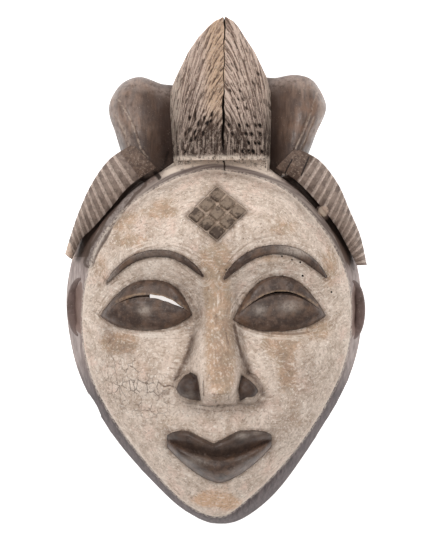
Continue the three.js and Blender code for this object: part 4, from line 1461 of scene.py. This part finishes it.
def lobe_material():
    m = Maker("lobe")
    grain = m.noise(1.3, 4, 0.6, m.stretched((1, 0.16, 0.3)), 2.0)
    base = m.mix((88, 69, 58), (130, 104, 88), m.band(grain, 0.38, 0.64))
    base = m.layer(base, (76, 60, 54), m.cloud(0.45, 0.68, 12, 3, seed=3), 0.8)
    base = m.layer(base, (142, 106, 82), m.cloud(0.5, 0.68, 10, 3, seed=4), 0.5)
    # Darker into the valley beside the crest: painted shade
    base = m.layer(base, (66, 51, 45), m.ramp("valley", 0.2, 0.75), 0.9)
    # Darker patch on the right lobe: stain and painted shade
    base = m.layer(base, (84, 65, 55), m.field("stain_and_shade"), 0.6)
    base = m.layer(base, (54, 41, 36), m.ramp("height", 96, 66), 0.85)
    crumbs = m.times(m.cloud(0.56, 0.66, 1.4, 4, 0.8, seed=12), m.ramp("height", 76, 60))
    base = m.layer(base, (176, 158, 142), crumbs, 0.6)
    # Pale along the lobes' top and outer edges: painted sheen
    pale = m.times(m.field("lobe_sheen"), m.cloud(0.3, 0.6, 3, 4, 0.65, seed=9))
    base = m.layer(base, (176, 156, 144), pale, 0.6)
    dust = m.times(m.cloud(0.57, 0.7, 1.0, 4, 0.75, seed=5), m.cloud(0.4, 0.6, 12, 2, seed=6))
    base = m.layer(base, (176, 158, 142), dust, 0.65)
    cut = m.field("carve")
    in_cut = m.times(m.band(cut, 0.25, 0.65), m.cloud(0.34, 0.6, 2.2, 3, seed=10))
    base = m.layer(base, (170, 150, 134), in_cut, 0.8)
    creases = m.frayed("creases", 0.9, 0.75, 1.15, 1.4, 5, 0.75, seed=11)
    base = m.mix(base, (40, 30, 26), m.most(creases, m.band(cut, 0.85, 1.0)))
    rough = m.blend(0.3, 0.58, m.cloud(0.35, 0.7, 5, 4, seed=7))
    normal = m.bumps([(m.times(grain, 0.25), 0.6), (m.noise(0.7, 3, 0.65, seed=8), 0.1)])
    return m.finish(base, rough, normal, 0.5)


def braid_material():
    m = Maker("braid")
    base = m.mix((140, 122, 111), (106, 90, 81), m.cloud(0.4, 0.66, 4, 5, 0.65))
    base = m.layer(base, (182, 166, 152), m.cloud(0.54, 0.68, 1.1, 4, 0.75, seed=2), 0.7)
    base = m.layer(base, (88, 72, 64), m.cloud(0.5, 0.68, 7, 3, seed=6), 0.7)
    groove = m.sum(m.field("carve"), m.noise(1.4, 4, 0.7, seed=3), 0.9)
    dashes = m.blend(0.45, 0.85, m.cloud(0.42, 0.56, 1.5, 3, 0.7, seed=9))
    base = m.mix(base, (204, 186, 174), m.times(m.band(groove, 0.6, 0.95), dashes))
    fresh = m.frayed("fresh", 0.8, 0.75, 0.95, 2.2, 4, 0.7, seed=7)
    base = m.layer(base, (208, 184, 166), fresh, 0.8)
    plain = m.frayed("plaits", 2.0, 1.5, 0.7, 2.0, 4, 0.7, seed=10)
    start = m.mix((82, 65, 56), (116, 95, 82), m.cloud(0.4, 0.66, 3.0, 4, 0.7, seed=11))
    crumbs = m.cloud(0.53, 0.62, 1.5, 4, 0.8, seed=12)
    start = m.mix(start, (192, 172, 154), m.times(crumbs, m.blend(0.75, 0.35, m.ramp("height", 58, 66))))
    base = m.layer(base, start, plain, 0.95)
    creases = m.frayed("creases", 0.9, 0.75, 1.15, 1.4, 5, 0.75, seed=8)
    base = m.mix(base, (40, 30, 26), creases)
    rough = m.blend(0.6, 0.85, m.noise(3, 2, seed=4))
    normal = m.bumps([(m.noise(0.7, 4, 0.65, seed=5), 0.3)])
    return m.finish(base, rough, normal, 0.35)


def ear_material():
    m = Maker("ear")
    base = m.mix((112, 92, 86), (92, 74, 68), m.cloud(0.4, 0.66, 4, 4))
    base = m.layer(base, (168, 150, 136), m.cloud(0.58, 0.7, 1.4, 4, 0.7, seed=2), 0.6)
    normal = m.bumps([(m.noise(0.8, 4, 0.6, seed=5), 0.15)])
    return m.finish(base, m.blend(0.55, 0.75, m.noise(3, 2, seed=4)), normal, 0.35)


def inside_material():
    m = Maker("inside")
    grain = m.noise(1.6, 4, 0.6, m.stretched((1, 0.12, 0.4)), 2.0)
    base = m.mix((122, 92, 68), (158, 126, 96), m.band(grain, 0.35, 0.68))
    base = m.mix(base, (82, 62, 48), m.cloud(0.45, 0.7, 22, 3, seed=3))
    rough = m.blend(0.6, 0.85, m.noise(3, 2, seed=4))
    normal = m.bumps([(m.times(grain, 0.5), 0.6), (m.noise(0.8, 3, seed=8), 0.1)])
    return m.finish(base, rough, normal, 0.35)


def gap_material():
    m = Maker("gap")
    base = m.mix((58, 44, 37), (86, 68, 58), m.cloud(0.4, 0.7, 1.5, 3))
    return m.finish(base, 0.85, m.bumps([(m.noise(0.8, 3), 0.15)]), 0.2)


makers = dict(face=face_material, side=side_material, crest=crest_material, lobe=lobe_material,
              braid=braid_material, ear=ear_material, inside=inside_material, gap=gap_material)


def into_frame(mesh):
    moved = (points_of(mesh) + SHIFT) * MM
    mesh.vertices.foreach_set("co", moved.astype(np.float32).ravel())
    mesh.update()


def dress_mask():
    mask = carve_mask()
    mask.name = "carved_mask"
    mesh = mask.data
    slots = np.empty(len(mesh.polygons), np.int32)
    mesh.polygons.foreach_get("material_index", slots)
    mesh.materials.clear()
    for part in PARTS:
        mesh.materials.append(makers[part]())
    mesh.polygons.foreach_set("material_index", slots)
    paint(mesh)
    into_frame(mesh)
    mesh.shade_smooth()
    mesh.set_sharp_from_angle(angle=math.radians(42))
    return mask


def pale_floor():
    mesh = bpy.data.meshes.new("floor")
    half = 3.0
    low = -0.0003
    corners = [(-half, -half, low), (half, -half, low), (half, half, low), (-half, half, low)]
    mesh.from_pydata(corners, [], [(0, 1, 2, 3)])
    floor = in_scene("floor", mesh)
    material = bpy.data.materials.new("floor")
    material.use_nodes = True
    shader = material.node_tree.nodes["Principled BSDF"]
    shader.inputs["Base Color"].default_value = (0.9, 0.9, 0.9, 1)
    shader.inputs["Roughness"].default_value = 0.9
    shader.inputs["Specular IOR Level"].default_value = 0.0
    shader.inputs["Emission Color"].default_value = (1, 1, 1, 1)
    shader.inputs["Emission Strength"].default_value = 0.75
    mesh.materials.append(material)


def soft_light(name, place, size, watts):
    data = bpy.data.lights.new(name, "AREA")
    data.size = size
    data.energy = watts
    light = in_scene(name, data)
    light.location = place
    light.rotation_euler = (Vector((0, 0, 0.05)) - Vector(place)).to_track_quat("-Z", "Y").to_euler()


def studio():
    soft_light("key", (-0.95, 0.5, 1.45), 0.42, 9)
    soft_light("fill", (0.95, 0.5, 1.45), 0.42, 6.5)
    soft_light("front", (-0.1, -0.3, 1.9), 0.9, 7)
    soft_light("top", (0.0, 1.3, 0.7), 0.9, 5)
    world = bpy.data.worlds.new("studio")
    world.use_nodes = True
    world.node_tree.nodes["Background"].inputs["Color"].default_value = (1, 1, 1, 1)
    world.node_tree.nodes["Background"].inputs["Strength"].default_value = 0.35
    bpy.context.scene.world = world
    bpy.context.scene.view_settings.view_transform = "Standard"


def photo_camera():
    data = bpy.data.cameras.new("photo")
    data.sensor_fit = "HORIZONTAL"
    data.sensor_width = 36
    data.lens = 277.8
    camera = in_scene("photo", data)
    camera.location = (SHIFT[0] * MM, SHIFT[1] * MM, 2.045)
    bpy.context.scene.camera = camera


photo_camera()
mask = dress_mask()
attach(mask, "root")
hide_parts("mask")
pale_floor()
studio()
